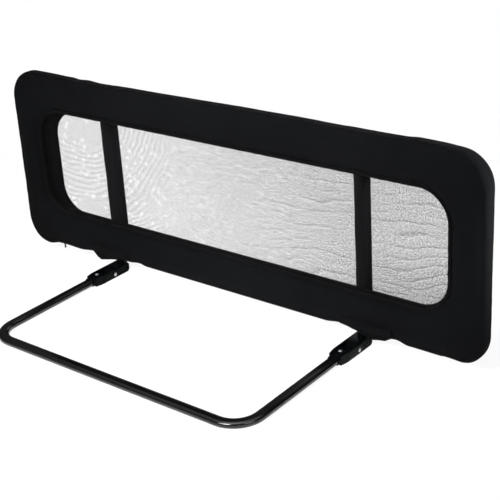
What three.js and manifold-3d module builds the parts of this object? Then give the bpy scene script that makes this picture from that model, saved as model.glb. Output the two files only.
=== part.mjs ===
// Folding bed guard rail: a padded fabric guard with a mesh window, hinged on a U-shaped tube base that
// lies under the mattress. Millimetres, +Z up, +X along the rail, -Y towards the bed.
import * as THREE from "three";
import { mergeVertices } from "three/addons/utils/BufferGeometryUtils.js";
import Module from "manifold-3d";

const wasm = await Module();
wasm.setup();

// Fits and cuts
const fitGap = 0.3; // clearance between pieces that touch or turn in each other
const cutOverrun = 5; // how far a cutting tool runs past the face that it cuts
const weldDistance = 0.0001; // vertices closer than this are one

// Guard outline, seen from the bed
const guardWidth = 1200;
const guardHeight = 403.5;
const guardDepth = 46;
const guardCornerRadius = 65;
const floorToGuard = 37;
const frontSetback = 11; // hinge pin axis to the crown of the padded front

// Padded bands round the window, from the edge of the guard to the seam
const endBand = 69;
const topBand = 74;
const bottomBand = 79;
const seamCornerRadius = 70;
const seamDrop = 8; // how far the seam lies behind the crown

// Mesh behind the window, whose edge lies inside the seam except at the bottom, where it lies lower
const meshEndInset = 23.5;
const meshTopInset = 17.5;
const meshBottomDrop = 4;
const meshCornerRadius = 60;

// Padding and cover
const fabricThickness = 1.3;
const paddingGap = 0.4; // between the foam and the cover or the fittings
const edgeRoundWidth = 34;
const edgeRoundDepth = 15;
const seamRoundWidth = 26;
const backEdgeRound = 15; // round of the cover over the frame tube, towards the back
const backHem = 1.5;
const facingRoll = 9.5; // how far the window facing bulges past the seam
const facingRollDepth = 10;

// Mesh
const netThickness = 0.7;
const meshBorder = 8; // hem that the cover holds all round
const netStrand = 5;
const meshColumns = 22;
const meshRows = 7;

// Frame tubes inside the guard
const frameTubeDiameter = 19;
const frameTubeWall = 1.2;
const postToBack = 15.5; // post axis to the back of the guard
const railInset = 14.5; // edge of the guard to the axis of the frame tube
const jointBeyondPost = 67; // post axis to the joint of the top rail with the end hoop
const spigotLength = 36;

// Fittings that join the tubes
const fittingWall = 1.7;
const topFittingLength = 56;
const topFittingSocket = 34;
const crossFittingLength = 80;
const crossFittingHeight = 52;
const crossFittingWeb = 2.7;
const fittingScrewOffset = 20; // post axis to the screw in a top fitting
const crossScrewOffset = 28; // post axis to the screws in a cross fitting
const screwShankRadius = 1.6;
const screwLength = 6;
const screwHeadRadius = 3.2;
const screwHeadHeight = 1.8;

// Post sleeves of fabric
const sleeveWidth = 27;
const sleeveDepth = 23;
const sleeveTuck = 9; // how far a sleeve runs on inside the padding below the mesh
const sleeveTopTuck = 35;

// Base tube, a flat oval bent into a U
const hingeInset = 272; // end of the guard to the hinge and the post on it
const baseReach = 342.5; // hinge pin axis to the axis of the front bar
const baseTubeWidth = 23;
const baseTubeHeight = 13.5;
const baseTubeWall = 1.2;
const baseBendRadius = 54;
const baseTubeEnd = 28; // hinge pin axis to the end of the tube inside the housing

// Hinge housings
const pinHeight = 9;
const housingWidth = 36;
const housingHeight = 20;
const housingEdgeRound = 2;
const housingFloor = 2.6;
const cheekThickness = 5.7;
const housingTail = 5; // post axis to the rear of the housing
const heelRadius = 8;
const cheekTopRound = 3;
const padRear = 26; // hinge pin axis to the rear edge of the rivet pad
const padFront = 45;
const noseFront = 57;
const taperStart = 31;
const collarWall = 2.2;
const collarLength = 6;
const recessFront = 13; // hinge pin axis to the foot of the slope in front of the knuckle
const grooveDepth = 1.2;
const grooveHeight = 3;
const grooveStart = 12;
const grooveEnd = 42;
const grooveSpacing = 6;

// Rivets and hinge pins
const pinRadius = 3;
const pinHeadRadius = 4;
const pinHeadHeight = 1.6;
const rivetSetback = 39; // hinge pin axis to the rivet through the base tube
const rivetRadius = 2.5;
const rivetHeadRadius = 4;
const rivetHeadHeight = 1.7;
const rivetTailRadius = 3.8;
const rivetTailHeight = 1.2;
const rivetTailPocket = 2.2;
const postRivetRadius = 2;
const postRivetHeadRadius = 3.2;
const postRivetHeadHeight = 1.2;
const postRivetBelowRim = 4.2;

// Knuckles, which turn on the pins and carry the posts
const knuckleNose = 6; // radius of the lower front quarter about the pin
const knuckleTopLead = 3.5;
const knuckleChamfer = 6;
const bossRadius = 12;
const bossTop = 19.5; // above the hinge pin axis
const postFoot = 2; // hinge pin axis down to the foot of the post

// Fabric flaps that hang over the hinges
const flapWidth = 164;
const flapDrop = 11;
const flapThickness = 1.2;
const flapInset = 8.5; // crown of the guard's front to the front of the flap
const flapTuck = 2; // how far the flap's seam lies above the foot of the guard
const flapWave = 1.4;
const flapWaves = 3;
const flapHemShare = 0.6; // how square the hem turns up at its ends

// Zip along the bottom of the cover
const zipEndInset = 92; // end of the guard to the end of the chain
const zipInset = 17.5; // crown of the guard's front to the middle of the zip
const zipTapeEnd = 5; // how far the tape runs past the chain
const zipTapeWidth = 7;
const zipTapeThickness = 0.8;
const zipChainWidth = 4;
const zipChainHeight = 1.3;
const zipStopLength = 2.5;
const zipStopWidth = 5;
const sliderLength = 9;
const sliderWidth = 7;
const sliderPlate = 1.4;
const sliderStopGap = 8; // end of the chain to the middle of the slider when the zip is closed
const bailSpan = 5;
const bailWidth = 1.6;
const bailHeight = 2.8;
const bailWall = 0.9;
const pullerLength = 10.95;
const pullerWidth = 4;
const pullerThickness = 1;
const pullerBar = 0.9; // crossbar that hangs in the bail
const pullerEyeWidth = 2.2;
const pullerEyeHeight = 3.1;
const pullerDrop = 0.55; // from the inside of the bail to the top of the crossbar

// Domed heads, as shares of the head's radius and height
const domeRadiusShares = [0, 0.6, 1, 1];
const domeHeightShares = [1, 0.82, 0.2, 0];

// How finely round shapes are divided
const cornerSteps = 6;
const roundSides = 16;
const screwSides = 10;
const tubeSides = 12;
const bendSteps = 6;
const ovalEndSteps = 6;
const profileSteps = 4;
const flapSteps = 24;

// Places that follow from the sizes above. Depths are measured from the hinge pin axis.
const quarterTurn = Math.PI / 2;
const guardTop = floorToGuard + guardHeight;
const guardBack = frontSetback + guardDepth;
const postSetback = guardBack - postToBack;
const housingRear = postSetback + housingTail;
const hingeSpacing = guardWidth - 2 * hingeInset;
const seamWidth = guardWidth - 2 * endBand;
const seamHeight = guardHeight - topBand - bottomBand;
const seamBottom = floorToGuard + bottomBand;
const windowWidth = seamWidth - 2 * meshEndInset;
const windowHeight = seamHeight - meshTopInset + meshBottomDrop;
const windowBottom = seamBottom - meshBottomDrop;
const topJoint = hingeSpacing / 2 + jointBeyondPost;
const zipLength = guardWidth - 2 * zipEndInset;
const zipSetback = frontSetback + zipInset;
const flapSetback = frontSetback + flapInset;
const flapSeamHeight = floorToGuard + flapTuck;
const sliderRest = zipLength / 2 - sliderStopGap;
const frameTubeRadius = frameTubeDiameter / 2;
const frameBoreRadius = frameTubeRadius + fitGap;
const fittingRadius = frameBoreRadius + fittingWall;
const paddingBack = postSetback - fittingRadius - paddingGap;
const topRailHeight = guardTop - railInset;
const bottomRailHeight = floorToGuard + railInset;
const backCoverFront = guardBack - fabricThickness;
const meshFront = backCoverFront - 2 * fitGap - netThickness;
const facingEnd = meshFront - fabricThickness;
const facingJoin = seamWidth / 2 - seamCornerRadius; // where the facing's long strips meet its end strips
const knuckleWidth = housingWidth - 2 * cheekThickness - 2 * fitGap;
const knuckleFloor = housingFloor - pinHeight + fitGap;
const housingTop = housingHeight - pinHeight;
const zipTapeTop = floorToGuard - fitGap;
const chainTop = zipTapeTop - zipTapeThickness - fitGap;
const sliderFloor = chainTop - zipChainHeight - fitGap;
const sliderBottom = sliderFloor - sliderPlate;
const baseTilt = Math.atan2((housingHeight - baseTubeHeight) / 2, baseReach - rivetSetback);
const barHeight =
  (baseTubeHeight / 2) * Math.cos(baseTilt) + ((baseTubeWidth - baseTubeHeight) / 2) * Math.sin(baseTilt);
const postSides = { left: -hingeSpacing / 2, right: hingeSpacing / 2 };

const guardOutline = {
  width: guardWidth,
  bottom: floorToGuard,
  height: guardHeight,
  radius: guardCornerRadius,
};
const seamOutline = {
  width: seamWidth,
  bottom: seamBottom,
  height: seamHeight,
  radius: seamCornerRadius,
};
const meshOutline = {
  width: windowWidth,
  bottom: windowBottom,
  height: windowHeight,
  radius: meshCornerRadius,
};

// Geometry helpers

function signedVolume(positions, triangles) {
  const corner = (index) => new THREE.Vector3().fromArray(positions, 3 * index);
  let total = 0;
  for (let i = 0; i < triangles.length; i += 3) {
    const across = corner(triangles[i + 1]).cross(corner(triangles[i + 2]));
    total += corner(triangles[i]).dot(across);
  }
  return total;
}

// A closed surface from vertices and triangles, turned so that it faces out.
function closedGeometry(positions, triangles) {
  if (signedVolume(positions, triangles) < 0) triangles.reverse();
  return new THREE.BufferGeometry()
    .setAttribute("position", new THREE.Float32BufferAttribute(positions, 3))
    .setIndex(triangles);
}

// Joins rings of points into a surface. A wrapped skin closes on itself, any other has flat ends.
function skin(rings, wrapped) {
  const count = rings[0].length;
  const positions = rings.flat().flatMap((point) => point.toArray());
  const triangles = [];
  const spans = wrapped ? rings.length : rings.length - 1;
  for (let row = 0; row < spans; row++) {
    const nextRow = ((row + 1) % rings.length) * count;
    for (let column = 0; column < count; column++) {
      const nextColumn = (column + 1) % count;
      const a = row * count + column;
      const b = row * count + nextColumn;
      triangles.push(a, b, nextRow + nextColumn, a, nextRow + nextColumn, nextRow + column);
    }
  }
  if (!wrapped) {
    const lastRow = spans * count;
    for (let column = 1; column < count - 1; column++) {
      triangles.push(0, column + 1, column);
      triangles.push(lastRow, lastRow + column, lastRow + column + 1);
    }
  }
  return closedGeometry(positions, triangles);
}

function toSolid(geometry) {
  const bare = new THREE.BufferGeometry().setAttribute("position", geometry.getAttribute("position"));
  if (geometry.index) bare.setIndex(geometry.index);
  const merged = mergeVertices(bare, weldDistance);
  return new wasm.Manifold(
    new wasm.Mesh({
      numProp: 3,
      vertProperties: new Float32Array(merged.getAttribute("position").array),
      triVerts: new Uint32Array(merged.index.array),
    }),
  );
}

function toGeometry(solid) {
  const mesh = solid.getMesh();
  return new THREE.BufferGeometry()
    .setAttribute("position", new THREE.BufferAttribute(mesh.vertProperties, 3))
    .setIndex(new THREE.BufferAttribute(mesh.triVerts, 1));
}

function join(first, ...others) {
  return toGeometry(others.reduce((solid, other) => solid.add(toSolid(other)), toSolid(first)));
}

function cut(body, ...tools) {
  return toGeometry(tools.reduce((solid, tool) => solid.subtract(toSolid(tool)), toSolid(body)));
}

function common(first, second) {
  return toGeometry(toSolid(first).intersect(toSolid(second)));
}

// Turns a geometry whose axis is +Y, as a lathe or a cylinder has, onto the named axis.
function turnTo(geometry, axis) {
  if (axis === "x") geometry.rotateZ(-quarterTurn);
  if (axis === "z") geometry.rotateX(quarterTurn);
  return geometry;
}

function rod(axis, radius, from, to, sides = roundSides) {
  const geometry = new THREE.CylinderGeometry(radius, radius, to - from, sides);
  geometry.translate(0, (from + to) / 2, 0);
  return turnTo(geometry, axis);
}

// A turned piece from [radius, height] pairs.
function turned(axis, pairs, sides = roundSides) {
  const points = pairs.map(([radius, height]) => new THREE.Vector2(radius, height));
  return turnTo(new THREE.LatheGeometry([...points, points[0]], sides), axis);
}

// Profile of a domed head that sits at the height given.
function domedHead(radius, height, seat) {
  return domeRadiusShares.map((share, step) => [share * radius, seat + domeHeightShares[step] * height]);
}

function block(width, depth, height, x, y, z) {
  return new THREE.BoxGeometry(width, depth, height).translate(x, y, z);
}

function shapeOf(points) {
  return new THREE.Shape(points.map(([across, up]) => new THREE.Vector2(across, up)));
}

// Extrudes a side view, drawn in Y and Z, evenly to both sides of X = 0.
function extrudeAcross(shape, width, edgeRound = 0) {
  const geometry = new THREE.ExtrudeGeometry(shape, {
    depth: width - 2 * edgeRound,
    bevelEnabled: edgeRound > 0,
    bevelThickness: edgeRound,
    bevelSize: edgeRound,
    bevelOffset: -edgeRound,
    bevelSegments: 2,
    curveSegments: profileSteps,
  });
  geometry.translate(0, 0, edgeRound - width / 2);
  const turn = new THREE.Matrix4().makeBasis(
    new THREE.Vector3(0, 1, 0),
    new THREE.Vector3(0, 0, 1),
    new THREE.Vector3(1, 0, 0),
  );
  return geometry.applyMatrix4(turn);
}

function extrudeUp(shape, from, to) {
  const geometry = new THREE.ExtrudeGeometry(shape, {
    depth: to - from,
    bevelEnabled: false,
    curveSegments: roundSides / 2,
  });
  return geometry.translate(0, 0, from);
}

function ovalSection(width, height) {
  const radius = height / 2;
  const reach = (width - height) / 2;
  const points = [];
  for (const side of [1, -1])
    for (let step = 0; step <= ovalEndSteps; step++) {
      const angle = quarterTurn * ((2 * step) / ovalEndSteps - 1);
      points.push([side * (reach + radius * Math.cos(angle)), side * radius * Math.sin(angle)]);
    }
  return points;
}

function roundSection(radius) {
  return Array.from({ length: tubeSides }, (unused, step) => {
    const angle = (4 * quarterTurn * step) / tubeSides;
    return [radius * Math.cos(angle), radius * Math.sin(angle)];
  });
}

// Stations along straight runs joined by round bends. Each has a place and a direction in the plane.
function bentPath(corners, bendRadius) {
  const stations = [];
  corners.forEach((corner, index) => {
    const before = corners[index - 1];
    const after = corners[index + 1];
    const into = before ? corner.clone().sub(before).normalize() : after.clone().sub(corner).normalize();
    const out = after ? after.clone().sub(corner).normalize() : into;
    if (!before || !after) {
      stations.push({ at: corner, along: into });
      return;
    }
    const turn = Math.atan2(into.cross(out), into.dot(out));
    const centre = corner
      .clone()
      .addScaledVector(into, -bendRadius * Math.tan(Math.abs(turn) / 2))
      .add(new THREE.Vector2(-into.y, into.x).multiplyScalar(Math.sign(turn) * bendRadius));
    for (let step = 0; step <= bendSteps; step++) {
      const along = into.clone().rotateAround(new THREE.Vector2(), (turn * step) / bendSteps);
      const arm = new THREE.Vector2(along.y, -along.x).multiplyScalar(Math.sign(turn) * bendRadius);
      stations.push({ at: centre.clone().add(arm), along });
    }
  });
  return stations;
}

// A hollow tube with open ends along flat stations. place puts a point of the plane, and a height over
// the plane, into space.
function hollowTube(stations, outer, inner, place) {
  const ring = (section) => ({ at, along }) =>
    section.map(([across, over]) => place(at.x + across * along.y, at.y - across * along.x, over));
  return skin([...stations.map(ring(outer)), ...stations.map(ring(inner)).reverse()], true);
}

// A rounded rectangle that stands at one depth, grown by the outset.
function outlineRing(outline, outset, depth) {
  const radius = outline.radius + outset;
  const reach = outline.width / 2 - outline.radius;
  const low = outline.bottom + outline.radius;
  const high = outline.bottom + outline.height - outline.radius;
  const middles = [
    [reach, high],
    [-reach, high],
    [-reach, low],
    [reach, low],
  ];
  return middles.flatMap(([x, z], quarter) =>
    Array.from({ length: cornerSteps + 1 }, (unused, step) => {
      const angle = (quarter + step / cornerSteps) * quarterTurn;
      return new THREE.Vector3(x + radius * Math.cos(angle), depth, z + radius * Math.sin(angle));
    }),
  );
}

// Profiles of the padded band are lists of points, each with the outline that it follows, its distance
// in from the edge of the guard, measured at the end bands, and its depth.
function bandPoint(outline, inward, depth) {
  return { outline, inward, depth };
}

function bandRing({ outline, inward, depth }) {
  const ownInset = (guardWidth - outline.width) / 2;
  return outlineRing(outline, ownInset - inward, depth);
}

// Moves a profile sideways by a distance, to the left of its direction.
function offsetProfile(profile, distance) {
  return profile.map((point, index) => {
    const before = profile[Math.max(index - 1, 0)];
    const after = profile[Math.min(index + 1, profile.length - 1)];
    const run = new THREE.Vector2(after.inward - before.inward, after.depth - before.depth).normalize();
    return bandPoint(point.outline, point.inward - distance * run.y, point.depth + distance * run.x);
  });
}

function bandShell(profile, thickness) {
  const inside = offsetProfile(profile, thickness).reverse();
  return skin([...profile, ...inside].map(bandRing), true);
}

const meshes = [];

function piece(name, geometry, colour, roughness, metalness = 0) {
  const material = new THREE.MeshStandardMaterial({ color: colour, roughness, metalness });
  const mesh = new THREE.Mesh(geometry, material);
  mesh.name = name;
  meshes.push(mesh);
  return mesh;
}

// Colours of the finishes
const fabricBlack = 0x17181b;
const meshBlack = 0x1d1e20;
const glossBlack = 0x08090a;
const steelGrey = 0xb9bcc0;
const plasticBlack = 0x141414;
const foamGrey = 0x9a9a98;

const fabric = (name, geometry) => piece(name, geometry, fabricBlack, 0.95);
const glossPlastic = (name, geometry) => piece(name, geometry, glossBlack, 0.25);
const powderCoat = (name, geometry) => piece(name, geometry, glossBlack, 0.3, 0.6);
const brightSteel = (name, geometry) => piece(name, geometry, steelGrey, 0.25, 1);
const mattePlastic = (name, geometry) => piece(name, geometry, plasticBlack, 0.7);

// Base

function baseTube() {
  const legLength = (baseReach - baseTubeEnd) / Math.cos(baseTilt);
  const half = hingeSpacing / 2;
  const corners = [
    new THREE.Vector2(-half, legLength),
    new THREE.Vector2(-half, 0),
    new THREE.Vector2(half, 0),
    new THREE.Vector2(half, legLength),
  ];
  const outer = ovalSection(baseTubeWidth, baseTubeHeight);
  const inner = ovalSection(baseTubeWidth - 2 * baseTubeWall, baseTubeHeight - 2 * baseTubeWall);
  const place = (x, y, over) => new THREE.Vector3(x, y, over);
  const tube = hollowTube(bentPath(corners, baseBendRadius), outer, inner, place);
  const rivetHoles = Object.values(postSides).map((x) =>
    rod("z", rivetRadius + fitGap, -baseTubeHeight, baseTubeHeight).translate(x, rivetReach(), 0),
  );
  return powderCoat("base_tube", cut(tube, ...rivetHoles));
}

// Distance along the sloping leg from the front bar to the rivet.
function rivetReach() {
  return (baseReach - rivetSetback) / Math.cos(baseTilt);
}

// Heights of the housing's top and bottom over the tube axis at the rivet.
function rivetSeats() {
  const axisHeight = barHeight + (baseReach - rivetSetback) * Math.tan(baseTilt);
  return { top: housingHeight - axisHeight, bottom: -axisHeight };
}

function tubeRivet(side) {
  const seats = rivetSeats();
  const headFoot = seats.top + fitGap;
  const tailTop = seats.bottom + rivetTailPocket - fitGap;
  const rivet = turned("z", [
    ...domedHead(rivetHeadRadius, rivetHeadHeight, headFoot),
    [rivetRadius, headFoot],
    [rivetRadius, tailTop],
    [rivetTailRadius, tailTop],
    [rivetTailRadius, tailTop - rivetTailHeight],
    [0, tailTop - rivetTailHeight],
  ]);
  const mesh = brightSteel("tube_rivet_" + side, closedCopy(rivet));
  mesh.position.set(postSides[side], rivetReach(), 0);
  return mesh;
}

// The same surface with its triangles facing out, whichever way the profile ran.
function closedCopy(geometry) {
  const bare = new THREE.BufferGeometry().setAttribute("position", geometry.getAttribute("position"));
  bare.setIndex(geometry.index);
  const merged = mergeVertices(bare, weldDistance);
  const corners = [...merged.index.array];
  const triangles = [];
  for (let i = 0; i < corners.length; i += 3) {
    const [a, b, c] = corners.slice(i, i + 3);
    if (a !== b && b !== c && c !== a) triangles.push(a, b, c);
  }
  return closedGeometry([...merged.getAttribute("position").array], triangles);
}

// Side view of a housing, with the hinge pin at the origin.
function housingSideView() {
  const bottom = -pinHeight;
  const axisAtNose = barHeight + (baseReach - noseFront) * Math.tan(baseTilt) - pinHeight;
  const noseHalf = baseTubeHeight / 2 + collarWall + fitGap;
  const view = new THREE.Shape();
  view.moveTo(-noseFront, axisAtNose - noseHalf);
  view.lineTo(-padFront, bottom);
  view.lineTo(housingRear - heelRadius, bottom);
  view.absarc(housingRear - heelRadius, bottom + heelRadius, heelRadius, -quarterTurn, 0, false);
  const cheekRoundY = housingRear - cheekTopRound;
  view.absarc(cheekRoundY, housingTop - cheekTopRound, cheekTopRound, 0, quarterTurn, false);
  view.lineTo(-padFront, housingTop);
  view.lineTo(-noseFront, axisAtNose + noseHalf);
  return view;
}

function housingPlan() {
  const wide = housingWidth / 2 + cutOverrun;
  const half = housingWidth / 2;
  const narrow = baseTubeWidth / 2 + collarWall;
  const rear = housingRear + cutOverrun;
  return shapeOf([
    [-narrow, -noseFront],
    [narrow, -noseFront],
    [half, -taperStart],
    [wide, -taperStart],
    [wide, rear],
    [-wide, rear],
    [-wide, -taperStart],
    [-half, -taperStart],
  ]);
}

// A straight stretch of the base tube's outline, grown by a margin, where the leg runs in a housing.
function legPrism(margin, from, to) {
  const section = ovalSection(baseTubeWidth + 2 * margin, baseTubeHeight + 2 * margin);
  const ring = (reach) =>
    section.map(([across, over]) => new THREE.Vector3(across, baseReach - reach, over));
  return skin([ring(from), ring(to)], false)
    .rotateX(baseTilt)
    .translate(0, -baseReach, barHeight - pinHeight);
}

function knucklePocket() {
  const above = housingTop + cutOverrun;
  const rear = housingRear + cutOverrun;
  const floor = housingFloor - pinHeight;
  const slope = (padRear - recessFront) / housingTop;
  const view = shapeOf([
    [-knuckleNose - 2 * fitGap, floor],
    [rear, floor],
    [rear, above],
    [-padRear - slope * cutOverrun, above],
    [-recessFront, 0],
    [-recessFront, floor / 2],
  ]);
  return extrudeAcross(view, knuckleWidth + 2 * fitGap);
}

function cheekGrooves() {
  const tool = block(2 * grooveDepth, grooveEnd - grooveStart, grooveHeight, 0, 0, 0);
  const middle = (grooveStart + grooveEnd) / 2;
  const tools = [];
  for (const side of [-1, 1])
    for (const level of [-0.5, 0.5])
      tools.push(tool.clone().translate((side * housingWidth) / 2, middle, level * grooveSpacing));
  return tools;
}

function hingeHousing(side) {
  const seats = rivetSeats();
  const body = common(
    extrudeAcross(housingSideView(), housingWidth, housingEdgeRound),
    extrudeUp(housingPlan(), -pinHeight - cutOverrun, housingTop + cutOverrun),
  );
  const collar = legPrism(collarWall, noseFront + collarLength, padFront);
  const tubeBore = legPrism(fitGap, noseFront + collarLength + cutOverrun, baseTubeEnd - fitGap);
  const rivetBore = join(
    rod("z", rivetRadius + fitGap, seats.bottom - cutOverrun, seats.top + cutOverrun),
    rod("z", rivetTailRadius + 2 * fitGap, seats.bottom - cutOverrun, seats.bottom + rivetTailPocket),
  )
    .translate(0, rivetReach(), 0)
    .rotateX(baseTilt)
    .translate(0, -baseReach, barHeight - pinHeight);
  const pinBore = rod("x", pinRadius + fitGap, -housingWidth, housingWidth);
  const housing = cut(join(body, collar), knucklePocket(), tubeBore, rivetBore, pinBore, ...cheekGrooves());
  return glossPlastic("hinge_housing_" + side, housing);
}

// A round pin with a domed head at each end, centred on the origin.
function headedPin(shankRadius, headRadius, headHeight, seat) {
  const half = [...domedHead(headRadius, headHeight, seat), [shankRadius, seat]];
  const otherHalf = half.map(([radius, height]) => [radius, -height]).reverse();
  return closedCopy(turned("x", [...half, ...otherHalf]));
}

function hingePin(side) {
  const seat = housingWidth / 2 + fitGap;
  return brightSteel("hinge_pin_" + side, headedPin(pinRadius, pinHeadRadius, pinHeadHeight, seat));
}

// Guard: hinge knuckles, posts and frame

function postRivetHeight() {
  return bossTop - postRivetBelowRim;
}

function knuckle(side) {
  const view = new THREE.Shape();
  view.moveTo(0, knuckleFloor);
  view.lineTo(postSetback, knuckleFloor);
  view.lineTo(postSetback, housingTop);
  view.lineTo(-knuckleTopLead, housingTop);
  view.lineTo(-knuckleNose, housingTop - knuckleChamfer);
  view.lineTo(-knuckleNose, 0);
  view.absellipse(0, 0, knuckleNose, -knuckleFloor, 2 * quarterTurn, 3 * quarterTurn, false, 0);
  const bar = extrudeAcross(view, knuckleWidth);
  const boss = rod("z", bossRadius, knuckleFloor, bossTop).translate(0, postSetback, 0);
  const socket = rod("z", frameBoreRadius, -postFoot - fitGap, bossTop + cutOverrun);
  socket.translate(0, postSetback, 0);
  const pinBore = rod("x", pinRadius + fitGap, -housingWidth, housingWidth);
  const rivetBore = rod("x", postRivetRadius + fitGap, -housingWidth, housingWidth)
    .translate(0, postSetback, postRivetHeight());
  return glossPlastic("hinge_knuckle_" + side, cut(join(bar, boss), socket, pinBore, rivetBore));
}

function postRivet(side) {
  const seat = bossRadius + fitGap;
  const geometry = headedPin(postRivetRadius, postRivetHeadRadius, postRivetHeadHeight, seat);
  geometry.translate(0, postSetback, postRivetHeight());
  return powderCoat("post_rivet_" + side, geometry);
}

// A straight hollow tube along an axis.
function straightTube(axis, from, to) {
  const outer = rod(axis, frameTubeRadius, from, to);
  const inner = rod(axis, frameTubeRadius - frameTubeWall, from - cutOverrun, to + cutOverrun);
  return cut(outer, inner);
}

function postTube(side) {
  const foot = pinHeight - postFoot;
  const top = topRailHeight - frameBoreRadius - fitGap;
  const rivetBore = rod("x", postRivetRadius + fitGap, -housingWidth, housingWidth);
  rivetBore.translate(0, 0, pinHeight + postRivetHeight());
  const mesh = powderCoat("post_tube_" + side, cut(straightTube("z", foot, top), rivetBore));
  mesh.position.set(postSides[side], postSetback, 0);
  return mesh;
}

function screwBore() {
  return rod("z", screwShankRadius + fitGap, 0, 2 * frameTubeRadius);
}

function endHoop(side) {
  const sign = Math.sign(postSides[side]);
  const endReach = guardWidth / 2 - railInset;
  const start = hingeSpacing / 2 + frameBoreRadius + crossFittingWeb + fitGap;
  const corners = [
    new THREE.Vector2(sign * start, bottomRailHeight),
    new THREE.Vector2(sign * endReach, bottomRailHeight),
    new THREE.Vector2(sign * endReach, topRailHeight),
    new THREE.Vector2(sign * topJoint, topRailHeight),
  ];
  const place = (x, z, over) => new THREE.Vector3(x, postSetback + over, z);
  const stations = bentPath(corners, guardCornerRadius - railInset);
  const inner = roundSection(frameTubeRadius - frameTubeWall);
  const tube = hollowTube(stations, roundSection(frameTubeRadius), inner, place);
  const screwSpot = postSides[side] + sign * crossScrewOffset;
  const bore = screwBore().translate(screwSpot, postSetback, bottomRailHeight);
  return powderCoat("end_hoop_" + side, cut(tube, bore));
}

function topRail() {
  const shoulder = topJoint - fitGap;
  const spigotRadius = frameTubeRadius - frameTubeWall - fitGap;
  const body = rod("x", frameTubeRadius, -shoulder, shoulder);
  const spigots = rod("x", spigotRadius, -topJoint - spigotLength, topJoint + spigotLength);
  const bore = rod("x", spigotRadius - frameTubeWall, -guardWidth / 2, guardWidth / 2);
  const screwBores = Object.values(postSides).map((x) =>
    screwBore().rotateX(2 * quarterTurn).translate(x - Math.sign(x) * fittingScrewOffset, 0, 0),
  );
  const mesh = powderCoat("top_rail_tube", cut(join(body, spigots), bore, ...screwBores));
  mesh.position.set(0, postSetback, topRailHeight);
  return mesh;
}

function bottomRail() {
  const end = hingeSpacing / 2 - frameBoreRadius - crossFittingWeb - fitGap;
  const bores = Object.values(postSides).map((x) =>
    screwBore().translate(x - Math.sign(x) * crossScrewOffset, 0, 0),
  );
  const mesh = powderCoat("bottom_rail_tube", cut(straightTube("x", -end, end), ...bores));
  mesh.position.set(0, postSetback, bottomRailHeight);
  return mesh;
}

// Fitting that holds a post under the top rail.
function topFitting(side) {
  const half = topFittingLength / 2;
  const inward = -Math.sign(postSides[side]);
  const body = join(rod("x", fittingRadius, -half, half), rod("z", fittingRadius, -topFittingSocket, 0));
  const railBore = rod("x", frameBoreRadius, -half - cutOverrun, half + cutOverrun);
  const postBore = rod("z", frameBoreRadius, -topFittingSocket - cutOverrun, 0);
  const screw = screwBore().rotateX(2 * quarterTurn).translate(inward * fittingScrewOffset, 0, 0);
  const mesh = mattePlastic("top_fitting_" + side, cut(body, railBore, postBore, screw));
  mesh.position.set(postSides[side], postSetback, topRailHeight);
  return mesh;
}

// Fitting where a post crosses the bottom rail.
function crossFitting(side) {
  const half = crossFittingLength / 2;
  const tall = crossFittingHeight / 2;
  const web = frameBoreRadius + crossFittingWeb;
  const body = join(
    rod("x", fittingRadius, -half, half),
    rod("z", fittingRadius, -railInset + 2 * fabricThickness + 2 * fitGap, tall),
  );
  const postBore = rod("z", frameBoreRadius, -railInset, tall + cutOverrun);
  const leftBore = rod("x", frameBoreRadius, -half - cutOverrun, -web);
  const rightBore = rod("x", frameBoreRadius, web, half + cutOverrun);
  const screws = [-1, 1].map((way) => screwBore().translate(way * crossScrewOffset, 0, 0));
  const mesh = mattePlastic("cross_fitting_" + side, cut(body, postBore, leftBore, rightBore, ...screws));
  mesh.position.set(postSides[side], postSetback, bottomRailHeight);
  return mesh;
}

// A round-head screw whose head seats at the origin and whose shank runs along -Z.
function screwGeometry() {
  const profile = [
    ...domedHead(screwHeadRadius, screwHeadHeight, 0),
    [screwShankRadius, 0],
    [screwShankRadius, -screwLength],
    [0, -screwLength - screwShankRadius],
  ];
  return closedCopy(turned("z", profile, screwSides));
}

function fittingScrews(side) {
  const seat = fittingRadius + fitGap;
  const inward = -Math.sign(postSides[side]);
  const places = [
    ["top", inward * fittingScrewOffset, topRailHeight, -1],
    ["inner", inward * crossScrewOffset, bottomRailHeight, 1],
    ["outer", -inward * crossScrewOffset, bottomRailHeight, 1],
  ];
  return places.map(([place, offset, height, way]) => {
    const geometry = screwGeometry();
    if (way < 0) geometry.rotateX(2 * quarterTurn);
    const mesh = brightSteel("fitting_screw_" + place + "_" + side, geometry);
    mesh.position.set(postSides[side] + offset, postSetback, height + way * seat);
    return mesh;
  });
}

// Guard: padding and cover

// Outside of the front cover, from the window seam over the crown to the back edge.
function frontProfile() {
  const seamInset = (guardWidth - seamWidth) / 2;
  const points = [];
  for (let step = profileSteps; step >= 0; step--) {
    const angle = (quarterTurn * step) / profileSteps;
    const inward = seamInset - seamRoundWidth * (1 - Math.sin(angle));
    points.push(bandPoint(seamOutline, inward, frontSetback + seamDrop * (1 - Math.cos(angle))));
  }
  for (let step = 0; step <= profileSteps + 1; step++) {
    const angle = (quarterTurn * step) / (profileSteps + 1);
    const inward = edgeRoundWidth * (1 - Math.sin(angle));
    points.push(bandPoint(guardOutline, inward, frontSetback + edgeRoundDepth * (1 - Math.cos(angle))));
  }
  const backEdge = backCoverFront - fitGap;
  for (let step = 0; step <= profileSteps; step++) {
    const angle = (quarterTurn * step) / profileSteps;
    const inward = backEdgeRound * (1 - Math.cos(angle));
    points.push(bandPoint(guardOutline, inward, backEdge - backEdgeRound * (1 - Math.sin(angle))));
  }
  return points;
}

function coverFront() {
  const below = floorToGuard - cutOverrun;
  const above = floorToGuard + backEdgeRound;
  const holes = Object.values(postSides).map((x) =>
    rod("z", fittingRadius + fitGap, below, above).translate(x, postSetback, 0),
  );
  return fabric("cover_front", cut(bandShell(frontProfile(), -fabricThickness), ...holes));
}

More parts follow.
